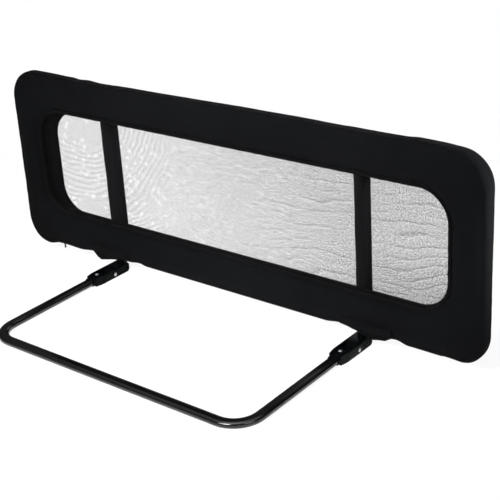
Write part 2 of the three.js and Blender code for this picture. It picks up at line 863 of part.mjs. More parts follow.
// Foam between the front cover and the frame tubes.
function foamPadding() {
  const outside = frontProfile().filter((point) => point.depth <= frontSetback + edgeRoundDepth);
  const front = offsetProfile(outside, -fabricThickness - paddingGap);
  const edge = fabricThickness + paddingGap;
  const seamSide = (guardWidth - seamWidth) / 2 - 2 * fabricThickness - paddingGap;
  const profile = [
    ...front,
    bandPoint(guardOutline, edge, paddingBack),
    bandPoint(seamOutline, seamSide, paddingBack),
    bandPoint(seamOutline, seamSide, frontSetback + seamDrop + 2 * fabricThickness),
  ];
  return piece("foam_padding", skin(profile.map(bandRing), true), foamGrey, 0.9);
}

function coverBack() {
  const meshInset = (guardWidth - windowWidth) / 2;
  const profile = [
    bandPoint(guardOutline, backEdgeRound + fitGap, backCoverFront),
    bandPoint(guardOutline, backEdgeRound + fitGap + backHem, guardBack),
    bandPoint(meshOutline, meshInset, guardBack),
    bandPoint(meshOutline, meshInset, backCoverFront),
  ];
  return fabric("cover_back", skin(profile.map(bandRing), true));
}

// Fabric facing of the window: a soft roll behind the seam, then back to the mesh. It is sewn from a
// long strip at the top and at the bottom and from two end strips that turn the corners.
function windowFacing() {
  const seamInset = (guardWidth - seamWidth) / 2;
  const meshInset = (guardWidth - windowWidth) / 2;
  const start = frontSetback + seamDrop + fitGap;
  const profile = [];
  for (let step = 0; step <= profileSteps; step++) {
    const angle = (quarterTurn * step) / profileSteps;
    const inward = seamInset + facingRoll * Math.sin(angle);
    profile.push(bandPoint(seamOutline, inward, start + facingRollDepth * (1 - Math.cos(angle))));
  }
  profile.push(bandPoint(meshOutline, meshInset, facingEnd));
  const below = windowBottom - 2 * sleeveTuck;
  const above = seamBottom + seamHeight + cutOverrun;
  const holes = Object.values(postSides).map((x) =>
    sleevePrism(fitGap, below, above).translate(x, postSetback, 0),
  );
  const shell = cut(bandShell(profile, fabricThickness), ...holes);
  const middle = seamBottom + seamHeight / 2;
  const stretch = block(2 * facingJoin - fitGap, 4 * guardDepth, seamHeight, 0, 0, 0);
  const end = block(seamWidth, 4 * guardDepth, 2 * seamHeight, 0, 0, middle);
  const endOffset = facingJoin + (fitGap + seamWidth) / 2;
  return [
    fabric("window_facing_top", common(shell, stretch.clone().translate(0, 0, middle + seamHeight / 2))),
    fabric("window_facing_bottom", common(shell, stretch.clone().translate(0, 0, middle - seamHeight / 2))),
    fabric("window_facing_left", common(shell, end.clone().translate(-endOffset, 0, 0))),
    fabric("window_facing_right", common(shell, end.clone().translate(endOffset, 0, 0))),
  ];
}

// The outline of a post sleeve, grown by a margin, as a solid upright prism.
function sleevePrism(margin, from, to) {
  const ellipse = new THREE.Shape();
  ellipse.absellipse(0, 0, sleeveWidth / 2 + margin, sleeveDepth / 2 + margin, 0, 4 * quarterTurn, false, 0);
  return extrudeUp(ellipse, from, to);
}

function postSleeve(side) {
  const from = windowBottom - sleeveTuck;
  const to = windowBottom + windowHeight + sleeveTopTuck;
  const inside = sleevePrism(-fabricThickness, from - cutOverrun, to + cutOverrun);
  const mesh = fabric("post_sleeve_" + side, cut(sleevePrism(0, from, to), inside));
  mesh.position.set(postSides[side], postSetback, 0);
  return mesh;
}

// The window net: a hemmed sheet with a regular grid of gaps, cut to the rounded outline at the corners.
function windowMesh() {
  const sheetRing = (outset, depth) => outlineRing(meshOutline, outset, depth);
  const meshBack = meshFront + netThickness;
  const sheet = skin([sheetRing(meshBorder, meshFront), sheetRing(meshBorder, meshBack)], false);
  const inside = skin([sheetRing(0, meshFront - cutOverrun), sheetRing(0, meshBack + cutOverrun)], false);
  const pitchX = windowWidth / meshColumns;
  const pitchZ = windowHeight / meshRows;
  const gap = new THREE.BoxGeometry(pitchX - netStrand, 2 * cutOverrun, pitchZ - netStrand);
  const gaps = [];
  for (let column = 0; column < meshColumns; column++)
    for (let row = 0; row < meshRows; row++) {
      const x = (column + 0.5 - meshColumns / 2) * pitchX;
      const z = windowBottom + (row + 0.5) * pitchZ;
      gaps.push(gap.clone().translate(x, meshFront, z));
    }
  return piece("window_mesh", cut(sheet, common(join(...gaps), inside)), meshBlack, 0.9);
}

// A tongue of fabric that hangs in soft waves below the cover in front of a hinge.
function hingeFlap(side) {
  const rings = Array.from({ length: flapSteps + 1 }, (unused, step) => {
    const share = (2 * step) / flapSteps - 1;
    const x = (share * flapWidth) / 2;
    const drop = flapDrop * Math.cos(share * quarterTurn) ** flapHemShare + fabricThickness;
    const foot = flapSeamHeight - drop;
    const footY = flapWave * Math.sin(share * flapWaves * 2 * quarterTurn);
    return [
      new THREE.Vector3(x, flapSetback, flapSeamHeight),
      new THREE.Vector3(x, flapSetback + flapThickness, flapSeamHeight),
      new THREE.Vector3(x, flapSetback + flapThickness + footY, foot),
      new THREE.Vector3(x, flapSetback + footY, foot),
    ];
  });
  const mesh = fabric("hinge_flap_" + side, skin(rings, false));
  mesh.position.x = postSides[side];
  return mesh;
}

// Guard: zip

function zipTape() {
  const tape = block(zipLength + 2 * zipTapeEnd, zipTapeWidth, zipTapeThickness, 0, 0, 0);
  const mesh = fabric("zip_tape", tape);
  mesh.position.set(0, zipSetback, zipTapeTop - zipTapeThickness / 2);
  return mesh;
}

function zipChain() {
  const mesh = mattePlastic("zip_chain", block(zipLength, zipChainWidth, zipChainHeight, 0, 0, 0));
  mesh.position.set(0, zipSetback, chainTop - zipChainHeight / 2);
  return mesh;
}

function zipStop(side) {
  const sign = Math.sign(postSides[side]);
  const mesh = brightSteel("zip_stop_" + side, block(zipStopLength, zipStopWidth, zipChainHeight, 0, 0, 0));
  const x = zipLength / 2 + fitGap + zipStopLength / 2;
  mesh.position.set(sign * x, zipSetback, chainTop - zipChainHeight / 2);
  return mesh;
}

// Slider with side walls beside the chain and a bail below it. Its origin is on the underside's middle.
function zipSlider() {
  const wallHeight = chainTop - sliderBottom;
  const body = block(sliderLength, sliderWidth, wallHeight, 0, 0, wallHeight / 2);
  const channelWidth = zipChainWidth + 2 * fitGap;
  const channel = block(2 * sliderLength, channelWidth, wallHeight, 0, 0, sliderPlate + wallHeight / 2);
  const bailLength = bailHeight + sliderPlate / 2;
  const bail = block(bailSpan, bailWidth, bailLength, 0, 0, sliderPlate / 4 - bailHeight / 2);
  const eyeHeight = bailHeight - bailWall;
  const eye = block(bailSpan - 2 * bailWall, 2 * bailWidth, eyeHeight, 0, 0, -eyeHeight / 2);
  const mesh = brightSteel("zip_slider", cut(join(cut(body, channel), bail), eye));
  mesh.position.set(-sliderRest, zipSetback, sliderBottom);
  return mesh;
}

// Puller that hangs in the bail by its crossbar. Its origin is the crossbar's axis.
function zipPuller() {
  const top = pullerBar / 2;
  const plate = block(pullerThickness, pullerWidth, pullerLength, 0, 0, top - pullerLength / 2);
  const eye = block(2 * pullerThickness, pullerEyeWidth, pullerEyeHeight, 0, 0, -top - pullerEyeHeight / 2);
  const mesh = brightSteel("zip_puller", cut(plate, eye));
  mesh.position.set(-sliderRest, zipSetback, sliderBottom - pullerDrop - top);
  return mesh;
}

// Assembly: the hinge pin axis is at y = 0 while the pieces are placed, and the whole is then moved so
// that the origin lies under the middle of the object's outline.
const rail = new THREE.Group();
rail.position.y = (baseReach + baseTubeWidth / 2 - guardBack) / 2;

const slopingBase = new THREE.Group();
slopingBase.position.set(0, -baseReach, barHeight);
slopingBase.rotation.x = baseTilt;
slopingBase.add(baseTube());
rail.add(slopingBase);

for (const side of ["left", "right"]) {
  slopingBase.add(tubeRivet(side));
  const hinge = new THREE.Group();
  hinge.position.set(postSides[side], 0, pinHeight);
  hinge.add(hingeHousing(side), hingePin(side), knuckle(side), postRivet(side));
  rail.add(hinge);
  rail.add(postTube(side), endHoop(side), topFitting(side), crossFitting(side), ...fittingScrews(side));
  rail.add(postSleeve(side), hingeFlap(side), zipStop(side));
}
rail.add(topRail(), bottomRail());
rail.add(foamPadding(), coverFront(), coverBack(), ...windowFacing(), windowMesh());
rail.add(zipTape(), zipChain(), zipSlider(), zipPuller());

const object = new THREE.Group();
object.add(rail);
export default object;
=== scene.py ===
import math

import bpy
import numpy as np
from mathutils import Matrix, Vector, noise


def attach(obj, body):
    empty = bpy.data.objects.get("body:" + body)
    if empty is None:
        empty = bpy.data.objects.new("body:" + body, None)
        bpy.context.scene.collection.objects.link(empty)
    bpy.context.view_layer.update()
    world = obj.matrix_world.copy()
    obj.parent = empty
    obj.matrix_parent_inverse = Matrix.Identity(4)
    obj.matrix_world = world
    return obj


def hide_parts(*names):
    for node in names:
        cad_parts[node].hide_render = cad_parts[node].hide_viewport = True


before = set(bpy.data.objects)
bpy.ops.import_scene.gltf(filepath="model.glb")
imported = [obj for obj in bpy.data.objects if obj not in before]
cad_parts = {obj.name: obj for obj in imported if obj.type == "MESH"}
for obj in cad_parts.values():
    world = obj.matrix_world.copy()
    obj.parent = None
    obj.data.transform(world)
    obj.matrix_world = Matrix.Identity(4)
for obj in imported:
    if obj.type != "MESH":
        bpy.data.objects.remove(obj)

# Folding bed guard rail. Metres, +Z up, +X along the rail, -Y towards the bed.
# Depths in the piece dictionaries are measured from the hinge pin axis, as on the real part.

pinDepth = 0.1485   # y of the hinge pin axis
postSpots = {"left": -0.328, "right": 0.328}
startObjects = ("Cube", "Light", "Camera")   # what a new file holds

for name in startObjects:
    if name in bpy.data.objects:
        bpy.data.objects.remove(bpy.data.objects[name])
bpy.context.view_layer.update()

guardOutline = {"width": 1.200, "bottom": 0.0370, "height": 0.4035, "radius": 0.065, "footRadius": 0.052}
seamOutline = {"width": 1.062, "bottom": 0.1160, "height": 0.2505, "radius": 0.070}
netOutline = {"width": 1.015, "bottom": 0.1120, "height": 0.237, "radius": 0.060}


cameraView = {
    "place": (1.46223, -1.49869, 1.11379),
    "turn": -0.69574,     # radians from +Y towards +X
    "tilt": 0.41761,      # down
    "roll": -0.06509,
    "lens": 84.486,
    "sensor": 36,
    "shift": (0.00118, -0.00118),
    "clip": (0.05, 60),
}


def newObject(name, data):
    thing = bpy.data.objects.new(name, data)
    bpy.context.scene.collection.objects.link(thing)
    return thing


def makeCamera(view):
    data = bpy.data.cameras.new("photoCamera")
    data.sensor_width = view["sensor"]
    data.lens = view["lens"]
    data.shift_x, data.shift_y = view["shift"]
    data.clip_start, data.clip_end = view["clip"]
    camera = newObject("photoCamera", data)
    turn, tilt, roll = view["turn"], view["tilt"], view["roll"]
    ahead = Vector((math.sin(turn) * math.cos(tilt), math.cos(turn) * math.cos(tilt), -math.sin(tilt)))
    right = ahead.cross(Vector((0, 0, 1))).normalized()
    up = right.cross(ahead)
    right, up = (right * math.cos(roll) + up * math.sin(roll), up * math.cos(roll) - right * math.sin(roll))
    axes = Matrix((right, up, -ahead)).transposed().to_4x4()
    camera.matrix_world = Matrix.Translation(view["place"]) @ axes
    bpy.context.scene.camera = camera


makeCamera(cameraView)
print("camera set")


class Nodes:   # each call adds nodes to a tree and gives back what the last one puts out
    def __init__(self, tree):
        self.tree = tree

    def join(self, value, socket):   # an output is linked, a plain value is set
        if isinstance(value, bpy.types.NodeSocket):
            self.tree.links.new(value, socket)
        else:
            socket.default_value = value

    def add(self, kind, settings=None, inputs=None):
        node = self.tree.nodes.new(kind)
        for key, value in (settings or {}).items():
            setattr(node, key, value)
        for key, value in (inputs or {}).items():
            self.join(value, node.inputs[key])
        return node

    def math(self, operation, *values, clamp=False):
        node = self.add("ShaderNodeMath", {"operation": operation, "use_clamp": clamp})
        for value, socket in zip(values, node.inputs):
            self.join(value, socket)
        return node.outputs[0]

    def times(self, first, second):
        return self.math("MULTIPLY", first, second)

    def timesPlus(self, first, second, third, clamp=False):   # first * second + third
        return self.math("MULTIPLY_ADD", first, second, third, clamp=clamp)

    def vector(self, operation, inputs):
        return self.add("ShaderNodeVectorMath", {"operation": operation}, inputs)

    def ease(self, value, start, end):   # 0 before start, 1 after end
        return self.add("ShaderNodeMapRange", {"interpolation_type": "SMOOTHSTEP"},
                        {"Value": value, "From Min": start, "From Max": end}).outputs["Result"]

    def ramp(self, factor, stops, colours):
        node = self.add("ShaderNodeValToRGB", inputs={"Fac": factor})
        for element, stop, colour in zip(node.color_ramp.elements, stops, colours):
            element.position = stop
            element.color = (*colour, 1)
        return node.outputs["Color"]

    def noise(self, vector, scale, detail=3.0, roughness=0.55):
        inputs = {"Vector": vector, "Scale": scale, "Detail": detail, "Roughness": roughness}
        return self.add("ShaderNodeTexNoise", inputs=inputs).outputs["Fac"]

    def placed(self, vector, scale, turn=0.0):
        inputs = {"Vector": vector, "Rotation": (0, 0, turn), "Scale": scale}
        return self.add("ShaderNodeMapping", inputs=inputs).outputs["Vector"]

    def stretched(self, vector, scale, turn=0.0, detail=2.0):
        return self.noise(self.placed(vector, scale, turn), 1.0, detail, 0.5)

    def bump(self, height, distance, strength, normal=None):
        inputs = {"Height": height, "Distance": distance, "Strength": strength}
        if normal is not None:
            inputs["Normal"] = normal
        return self.add("ShaderNodeBump", inputs=inputs).outputs["Normal"]

    def coordinates(self, which):
        return self.add("ShaderNodeTexCoord").outputs[which]

    def axes(self, vector):
        return self.add("ShaderNodeSeparateXYZ", inputs={"Vector": vector}).outputs

    def cameraRay(self):
        return self.add("ShaderNodeLightPath").outputs["Is Camera Ray"]


class Look(Nodes):   # the nodes of one material
    def __init__(self, name):
        self.material = bpy.data.materials.new(name)
        self.material.use_nodes = True
        super().__init__(self.material.node_tree)
        self.shader = self.tree.nodes["Principled BSDF"]

    def finish(self, looks):
        for socket, value in looks.items():
            self.join(value, self.shader.inputs[socket])
        return self.material


def shaded(colour, share):
    return tuple(share * part for part in colour)


evenStops = (0.3, 0.7)   # of a ramp that uses most of a noise


coverCloth = {
    "dark": (0.0011, 0.0012, 0.0014),
    "light": (0.0028, 0.0030, 0.0034),
    "threadPitch": 0.0009,
    "roughness": 0.86,
    "gloss": 0.022,
    "sheen": 0.005,
}
facingClothShaded = {   # the knitted band round the window; its colour is set darker than the cover's as painted shade of the window's recess
    "dark": (0.0008, 0.0008, 0.0010),
    "light": (0.0022, 0.0023, 0.0026),
    "threadPitch": 0.0007,
    "roughness": 0.84,
    "gloss": 0.025,
    "sheen": 0.006,
}
sleeveCloth = {
    "dark": (0.0018, 0.0019, 0.0021),
    "light": (0.0040, 0.0041, 0.0045),
    "threadPitch": 0.0008,
    "roughness": 0.86,
    "gloss": 0.025,
    "sheen": 0.008,
}
wovenLook = {   # what all the cloths share; a noise is scale, detail, roughness, a bump distance, strength
    "drift": 1.2,             # how far threads stray, in pitches
    "driftNoise": {"Scale": 60.0, "Detail": 2.0},
    "patches": (7.0, 4.0, 0.6),
    "slubs": (420.0, 3.0, 0.7),
    "shares": (0.65, 0.35, 0.30, 0.12),   # patches, slubs and threads in the tone, and what is taken off
    "stops": (0.28, 0.74),
    "roughSpread": 0.16,
    "softNoise": (38.0, 3.0, 0.5),
    "softBump": (0.0016, 0.35),
    "weaveBump": (0.00028, 0.55),
    "sheenRoughness": 0.45,
}


def plainWeave(look, pitch, woven):
    coords = look.add("ShaderNodeUVMap").outputs["UV"]
    inputs = {"Vector": coords, **woven["driftNoise"]}
    warped = look.add("ShaderNodeTexNoise", inputs=inputs).outputs["Color"]
    drift = look.vector("SCALE", {0: warped, "Scale": pitch * woven["drift"]}).outputs[0]
    moved = look.vector("ADD", {0: coords, 1: drift}).outputs[0]
    scaled = look.vector("SCALE", {0: moved, "Scale": 1 / pitch}).outputs[0]
    waves = [look.math("SINE", look.times(part, math.pi)) for part in look.axes(scaled)[:2]]
    warp, weft = [look.math("ABSOLUTE", wave) for wave in waves]
    over = look.add("ShaderNodeTexChecker", inputs={"Vector": scaled, "Scale": 1.0}).outputs["Fac"]
    mixed = look.add("ShaderNodeMix", {"data_type": "FLOAT"}, {"Factor": over, "A": warp, "B": weft})
    return coords, mixed.outputs["Result"]


def clothMaterial(name, cloth, woven):
    look = Look(name)
    coords, threads = plainWeave(look, cloth["threadPitch"], woven)
    place = look.coordinates("Object")
    patches = look.noise(place, *woven["patches"])
    slubs = look.noise(coords, *woven["slubs"])
    patchShare, slubShare, threadShare, lowered = woven["shares"]
    tone = look.timesPlus(patches, patchShare, look.times(slubs, slubShare))
    tone = look.timesPlus(threads, threadShare, look.math("SUBTRACT", tone, lowered), clamp=True)
    soft = look.bump(look.noise(place, *woven["softNoise"]), *woven["softBump"])
    spread = woven["roughSpread"]
    return look.finish({
        "Base Color": look.ramp(tone, woven["stops"], (cloth["dark"], cloth["light"])),
        "Roughness": look.timesPlus(slubs, spread, cloth["roughness"] - spread / 2),
        "Normal": look.bump(threads, *woven["weaveBump"], soft),
        "Sheen Weight": cloth["sheen"],
        "Sheen Roughness": woven["sheenRoughness"],
        "Specular IOR Level": cloth["gloss"],
    })


windowNet = {   # spans are places along the rail between which a mark fades in
    "thread": (0.020, 0.021, 0.022),
    "shade": 0.6,                # of the thread's colour, darkest
    "fibres": 900.0,
    "bump": (0.0003, 0.6),
    "roughness": 0.6,
    "gloss": 0.2,
    "pitch": 0.0019,
    "slant": 0.62,               # of the threads round the diamond holes
    "cover": 0.285,              # share that threads take at the left
    "coverShadeSteps": (((-0.22, 0.10), 0.110), ((0.05, 0.30), 0.10)),   # span, what it adds; threads denser towards the right are painted shade
    # painted shadow: the lower right is drawn denser for the panel's shadow on the floor behind the net
    "lowRightShadow": {"span": (0.22, 0.42), "heights": (0.24, 0.13), "strength": 0.10},
    "rightward": (-0.05, 0.30),  # from the look of the left part to that of the right part
    "lines": {"rise": 0.0200, "fall": -0.12, "sway": (5.5, 9.0, 1.0), "swayed": 3.6, "pale": 0.55,
              "paleShift": 0.17, "sharpness": (6.0, 5.0), "breaks": (5.0, 32.0, 1.0), "broken": (0.38, 0.54),
              "strength": (0.015, 0.20)},
    "rings": {"centre": (-0.45, 0.42, 0.0), "step": 0.0125, "sway": (8.0, 11.0, 1.0), "turn": 0.4,
              "swayed": 0.040, "breaks": (6.0, 8.0, 1.0), "broken": (0.34, 0.54), "away": (0.12, 0.19),
              "span": (-0.12, -0.25), "strength": 0.075},
    "spots": {"scale": (56.0, 68.0, 1.0), "turn": 0.35, "edge": (0.42, 0.12), "chosen": (0.20, 0.40),
              "span": (0.10, -0.35), "strength": -0.20},
    "dashes": {"scale": (58.0, 190.0, 1.0), "turn": -0.42, "dark": (0.36, 0.26), "pale": (0.60, 0.72),
               "spans": ((-0.30, -0.12), (0.36, 0.20)), "strength": 0.14},
    "grain": {"scale": 330.0, "strength": (0.16, 1.05)},
    "limits": (0.05, 0.9),
    "power": 1.44,               # from the share of threads to the height at which the pattern is cut
}


def thinLine(look, phase, sharpness):   # 1 on the line, falling off to both sides
    away = look.math("ABSOLUTE", look.math("SUBTRACT", look.math("FRACT", phase), 0.5))
    return look.math("POWER", look.timesPlus(away, -2.0, 1.0), sharpness)


# the knitted rows drift against each other in long thin wavy lines
def netLines(look, coords, along, height, lines):
    sway = look.stretched(coords, lines["sway"], 0.0, 3.0)
    level = look.math("DIVIDE", look.timesPlus(along, lines["fall"], height), lines["rise"])
    phase = look.timesPlus(sway, lines["swayed"], level)
    dark = thinLine(look, phase, lines["sharpness"][0])
    pale = thinLine(look, look.math("ADD", phase, lines["paleShift"]), lines["sharpness"][1])
    broken = look.ease(look.stretched(coords, lines["breaks"]), *lines["broken"])
    return look.times(look.timesPlus(pale, -lines["pale"], dark), broken)


# rings like the grain of a thumb print
def netRings(look, coords, along, rings):
    away = look.vector("DISTANCE", {0: coords, 1: rings["centre"]}).outputs["Value"]
    swirl = look.timesPlus(look.stretched(coords, rings["sway"], rings["turn"]), rings["swayed"], away)
    waves = look.math("SINE", look.times(swirl, 2 * math.pi / rings["step"]))
    faint = look.ease(look.stretched(coords, rings["breaks"]), *rings["broken"])
    faint = look.times(faint, look.ease(away, *rings["away"]))
    return look.times(waves, look.times(look.ease(along, *rings["span"]), faint))


# pale spots where the layers part
def netSpots(look, coords, along, spots):
    slanted = look.placed(coords, spots["scale"], spots["turn"])
    cells = look.add("ShaderNodeTexVoronoi", inputs={"Vector": slanted, "Scale": 1.0}).outputs
    spot = look.ease(cells["Distance"], *spots["edge"])
    tint = look.add("ShaderNodeSeparateColor", inputs={"Color": cells["Color"]}).outputs[0]
    return look.times(look.times(spot, look.ease(tint, *spots["chosen"])), look.ease(along, *spots["span"]))


# short dark and pale dashes in the middle
def netDashes(look, coords, along, dashes):
    fleck = look.stretched(coords, dashes["scale"], dashes["turn"], 1.0)
    fleck = look.math("SUBTRACT", look.ease(fleck, *dashes["dark"]), look.ease(fleck, *dashes["pale"]))
    return look.times(fleck, look.times(*[look.ease(along, *span) for span in dashes["spans"]]))


def netMaterial(name, net):
    look = Look(name)
    coords = look.add("ShaderNodeUVMap").outputs["UV"]
    along, height = look.axes(coords)[:2]
    rightward = look.ease(along, *net["rightward"])
    cover = net["cover"]
    # the net is drawn denser, so darker, towards the right: painted shade
    for span, more in net["coverShadeSteps"]:
        cover = look.timesPlus(look.ease(along, *span), more, cover)
    # painted shadow in the net's lower right corner
    low = net["lowRightShadow"]
    marks = {
        "lowRightShadow": look.times(look.ease(along, *low["span"]), look.ease(height, *low["heights"])),
        "lines": netLines(look, coords, along, height, net["lines"]),
        "rings": netRings(look, coords, along, net["rings"]),
        "spots": netSpots(look, coords, along, net["spots"]),
        "dashes": netDashes(look, coords, along, net["dashes"]),
        "grain": look.math("SUBTRACT", look.noise(coords, net["grain"]["scale"], 1.0), 0.5),
    }
    for kind, mark in marks.items():
        strength = net[kind]["strength"]
        if isinstance(strength, tuple):   # at the left and at the right
            strength = look.timesPlus(rightward, strength[1] - strength[0], strength[0])
        cover = look.timesPlus(mark, strength, cover)
    cover = look.math("MINIMUM", look.math("MAXIMUM", cover, net["limits"][0]), net["limits"][1])

    # fine mesh: diamond holes in staggered rows
    ways = [look.timesPlus(height, slant, along) for slant in (net["slant"], -net["slant"])]
    waves = [look.math("SINE", look.times(way, math.pi / net["pitch"])) for way in ways]
    hole = look.math("ABSOLUTE", look.times(*waves))
    fibres = look.noise(coords, net["fibres"], 2.0)
    return look.finish({
        "Alpha": look.math("LESS_THAN", hole, look.math("POWER", cover, net["power"])),
        "Base Color": look.ramp(fibres, evenStops, (shaded(net["thread"], net["shade"]), net["thread"])),
        "Normal": look.bump(hole, *net["bump"]),
        "Roughness": net["roughness"],
        "Specular IOR Level": net["gloss"],
    })


coatLook = {
    "patches": (26.0, 5.0, 0.65),   # scale, detail and roughness of the handled patches
    "shades": (0.75, 1.0),          # of the colour, darkest and palest
    "stops": (0.3, 0.75),
    "roughSpread": 0.16,
    "roughLess": 0.08,
    "bump": (0.00008, 0.35),
}
mouldedLook = {
    "patches": (55.0, 4.0, 0.6),
    "shades": (1.0, 1.9),
    "stops": (0.35, 0.80),
    "roughSpread": 0.18,
    "roughLess": 0.07,
    "bump": (0.00006, 0.4),
}
powderCoatFinish = {"colour": (0.0018, 0.0018, 0.0021), "roughness": 0.15, "gloss": 0.45, "grain": 700.0}
mouldedFinish = {"colour": (0.0011, 0.0013, 0.0015), "roughness": 0.22, "gloss": 0.035, "grain": 2600.0}
fittingFinish = {"colour": (0.0080, 0.0080, 0.0080), "roughness": 0.55, "gloss": 0.30, "grain": 1500.0}
zipFinish = {"colour": (0.0012, 0.0012, 0.0014), "roughness": 0.30, "gloss": 0.05, "grain": 2500.0}
steelFinish = {"colour": (0.72, 0.73, 0.75), "roughness": 0.30, "grain": (400.0, 5200.0, 5200.0),
               "roughSpread": 0.18, "shade": 0.82, "bump": (0.00004, 0.3)}
threadFinish = {"roughness": 0.62, "gloss": 0.15, "twist": 2600.0, "bump": (0.00012, 0.5)}


def hardMaterial(name, finish, skin):
    look = Look(name)
    place = look.coordinates("Object")
    patches = look.noise(place, *skin["patches"])
    colours = [shaded(finish["colour"], share) for share in skin["shades"]]
    return look.finish({
        "Roughness": look.timesPlus(patches, skin["roughSpread"], finish["roughness"] - skin["roughLess"]),
        "Base Color": look.ramp(patches, skin["stops"], colours),
        "Normal": look.bump(look.noise(place, finish["grain"], 2.0), *skin["bump"]),
        "Specular IOR Level": finish["gloss"],
    })


def steelMaterial(name, finish):
    look = Look(name)
    lines = look.noise(look.placed(look.coordinates("Object"), finish["grain"]), 1.0)
    spread = finish["roughSpread"]
    dark = shaded(finish["colour"], finish["shade"])
    return look.finish({
        "Roughness": look.timesPlus(lines, spread, finish["roughness"] - spread / 2),
        "Base Color": look.ramp(lines, evenStops, (dark, finish["colour"])),
        "Normal": look.bump(lines, *finish["bump"]),
        "Metallic": 1.0,
    })


def threadMaterial(name, cloth, finish):
    look = Look(name)
    twist = look.noise(look.coordinates("Object"), finish["twist"], 2.0)
    return look.finish({
        "Base Color": look.ramp(twist, evenStops, (cloth["dark"], cloth["light"])),
        "Normal": look.bump(twist, *finish["bump"]),
        "Roughness": finish["roughness"],
        "Specular IOR Level": finish["gloss"],
    })


coverMaterial = clothMaterial("charcoalCloth", coverCloth, wovenLook)
# the facing's darker colour is painted shade of the recess round the window
facingMaterial = clothMaterial("facingKnitShaded", facingClothShaded, wovenLook)
sleeveMaterial = clothMaterial("sleeveCloth", sleeveCloth, wovenLook)
stitchMaterial = threadMaterial("blackThread", sleeveCloth, threadFinish)
netClothMaterial = netMaterial("windowNetting", windowNet)
coatMaterial = hardMaterial("glossBlackCoat", powderCoatFinish, coatLook)
zipMaterial = hardMaterial("darkZipPaint", zipFinish, coatLook)
hingeMaterial = hardMaterial("mouldedBlack", mouldedFinish, mouldedLook)
fittingMaterial = hardMaterial("fittingBlack", fittingFinish, mouldedLook)
rivetMaterial = steelMaterial("rivetSteel", steelFinish)
print("materials made")


def addMesh(name, vertices, faces, material, corners=None):
    mesh = bpy.data.meshes.new(name)
    mesh.from_pydata([tuple(v) for v in vertices], [], [tuple(f) for f in faces])
    if corners is not None:
        layer = mesh.uv_layers.new(name="clothMetres")
        layer.data.foreach_set("uv", np.asarray(corners, dtype=np.float32).ravel())
    mesh.polygons.foreach_set("use_smooth", [True] * len(mesh.polygons))
    mesh.materials.append(material)
    return newObject(name, mesh)


def spread(vertices, faces, first, second):   # lays a weave flat on two axes
    return [(vertices[v][first], vertices[v][second]) for face in faces for v in face]


def ringFaces(rows, columns, closed=False):   # between equal rings, if closed also from last to first
    faces = []
    for row in range(rows if closed else rows - 1):
        here, following = row * columns, (row + 1) % rows * columns
        for column in range(columns):
            beside = (column + 1) % columns
            faces.append((here + column, here + beside, following + beside, following + column))
    return faces


def cappedTube(rows, columns, start=0):   # equal rings with a face over each end
    caps = [tuple(reversed(range(columns))), tuple(range((rows - 1) * columns, rows * columns))]
    return [tuple(start + corner for corner in face) for face in ringFaces(rows, columns) + caps]


def turnedOver(faces):   # the same faces, looking the other way
    return [(face[0], *face[:0:-1]) for face in faces]


def gridFaces(rows, columns):
    firsts = [row * columns + column for row in range(rows - 1) for column in range(columns - 1)]
    return [(a, a + 1, a + columns + 1, a + columns) for a in firsts]


def shellFaces(rows, columns):   # of two layers of rows by columns, and of the rim between them
    layer = rows * columns
    sheets = []
    for a, b, c, d in gridFaces(rows, columns):
        sheets += [(a, b, c, d), (layer + a, layer + d, layer + c, layer + b)]
    around = list(range(columns)) + [row * columns + columns - 1 for row in range(1, rows)]
    around += [(rows - 1) * columns + column for column in range(columns - 2, -1, -1)]
    around += [row * columns for row in range(rows - 2, 0, -1)]
    rim = [(a, layer + a, layer + b, b) for a, b in zip(around, around[1:] + around[:1])]
    return sheets, rim


def stepsOf(loop):   # lengths of a closed ring's steps
    return np.linalg.norm(np.roll(loop, -1, axis=0) - loop, axis=1)


# across is the width that each row of the loft has come to, for the weave
def loftMesh(name, loops, across, material):
    lengths = np.concatenate([[0.0], np.cumsum(stepsOf(loops[0]))])
    corners = []
    for low, high in zip(across, across[1:]):
        for left, right in zip(lengths, lengths[1:]):
            corners.extend([(left, low), (right, low), (right, high), (left, high)])
    faces = ringFaces(len(loops), len(loops[0]), closed=True)
    return addMesh(name, np.concatenate(loops), faces, material, corners)


closingStep = 0.01   # width that the weave has over the step that closes a profile


def profileWidths(rows):   # the distance walked along a profile
    widths = [0.0]
    for before, after in zip(rows, rows[1:]):
        widths.append(widths[-1] + math.hypot(after[0] - before[0], after[1] - before[1]))
    widths.append(widths[-1] + closingStep)
    return widths


ringSteps = {"long": 200, "short": 44, "corner": 22}


def ringColumns(steps):
    signs = [(1, 1), (-1, 1), (-1, -1), (1, -1)]
    columns = []
    for quarter, (footX, footZ) in enumerate(signs):
        nextX, nextZ = signs[(quarter + 1) % 4]
        for step in range(steps["corner"]):
            angle = (quarter + step / steps["corner"]) * math.pi / 2
            columns.append((footX, footZ, math.cos(angle), math.sin(angle)))
        straight = steps["long"] if quarter in (0, 2) else steps["short"]
        angle = (quarter + 1) * math.pi / 2
        for step in range(straight):
            share = step / straight
            columns.append((footX + (nextX - footX) * share, footZ + (nextZ - footZ) * share,
                            math.cos(angle), math.sin(angle)))
    return np.array(columns)


ring = ringColumns(ringSteps)


def ringLoop(outline, outset, depth):
    top = outline["radius"]
    foot = outline.get("footRadius", top)
    corner = (top + foot) / 2 + ring[:, 1] * (top - foot) / 2
    middle = outline["bottom"] + outline["height"] / 2
    loop = np.empty((len(ring), 3))
    loop[:, 0] = ring[:, 0] * (outline["width"] / 2 - corner) + ring[:, 2] * (corner + outset)
    loop[:, 1] = pinDepth + depth
    loop[:, 2] = middle + ring[:, 1] * (outline["height"] / 2 - corner) + ring[:, 3] * (corner + outset)
    return loop


def ringWidths(loops):   # the distance walked across the rings, in the middle of the long side
    middle = [loop[ringSteps["corner"] + ringSteps["long"] // 2] for loop in loops]
    return profileWidths([(point[2], point[1]) for point in middle])


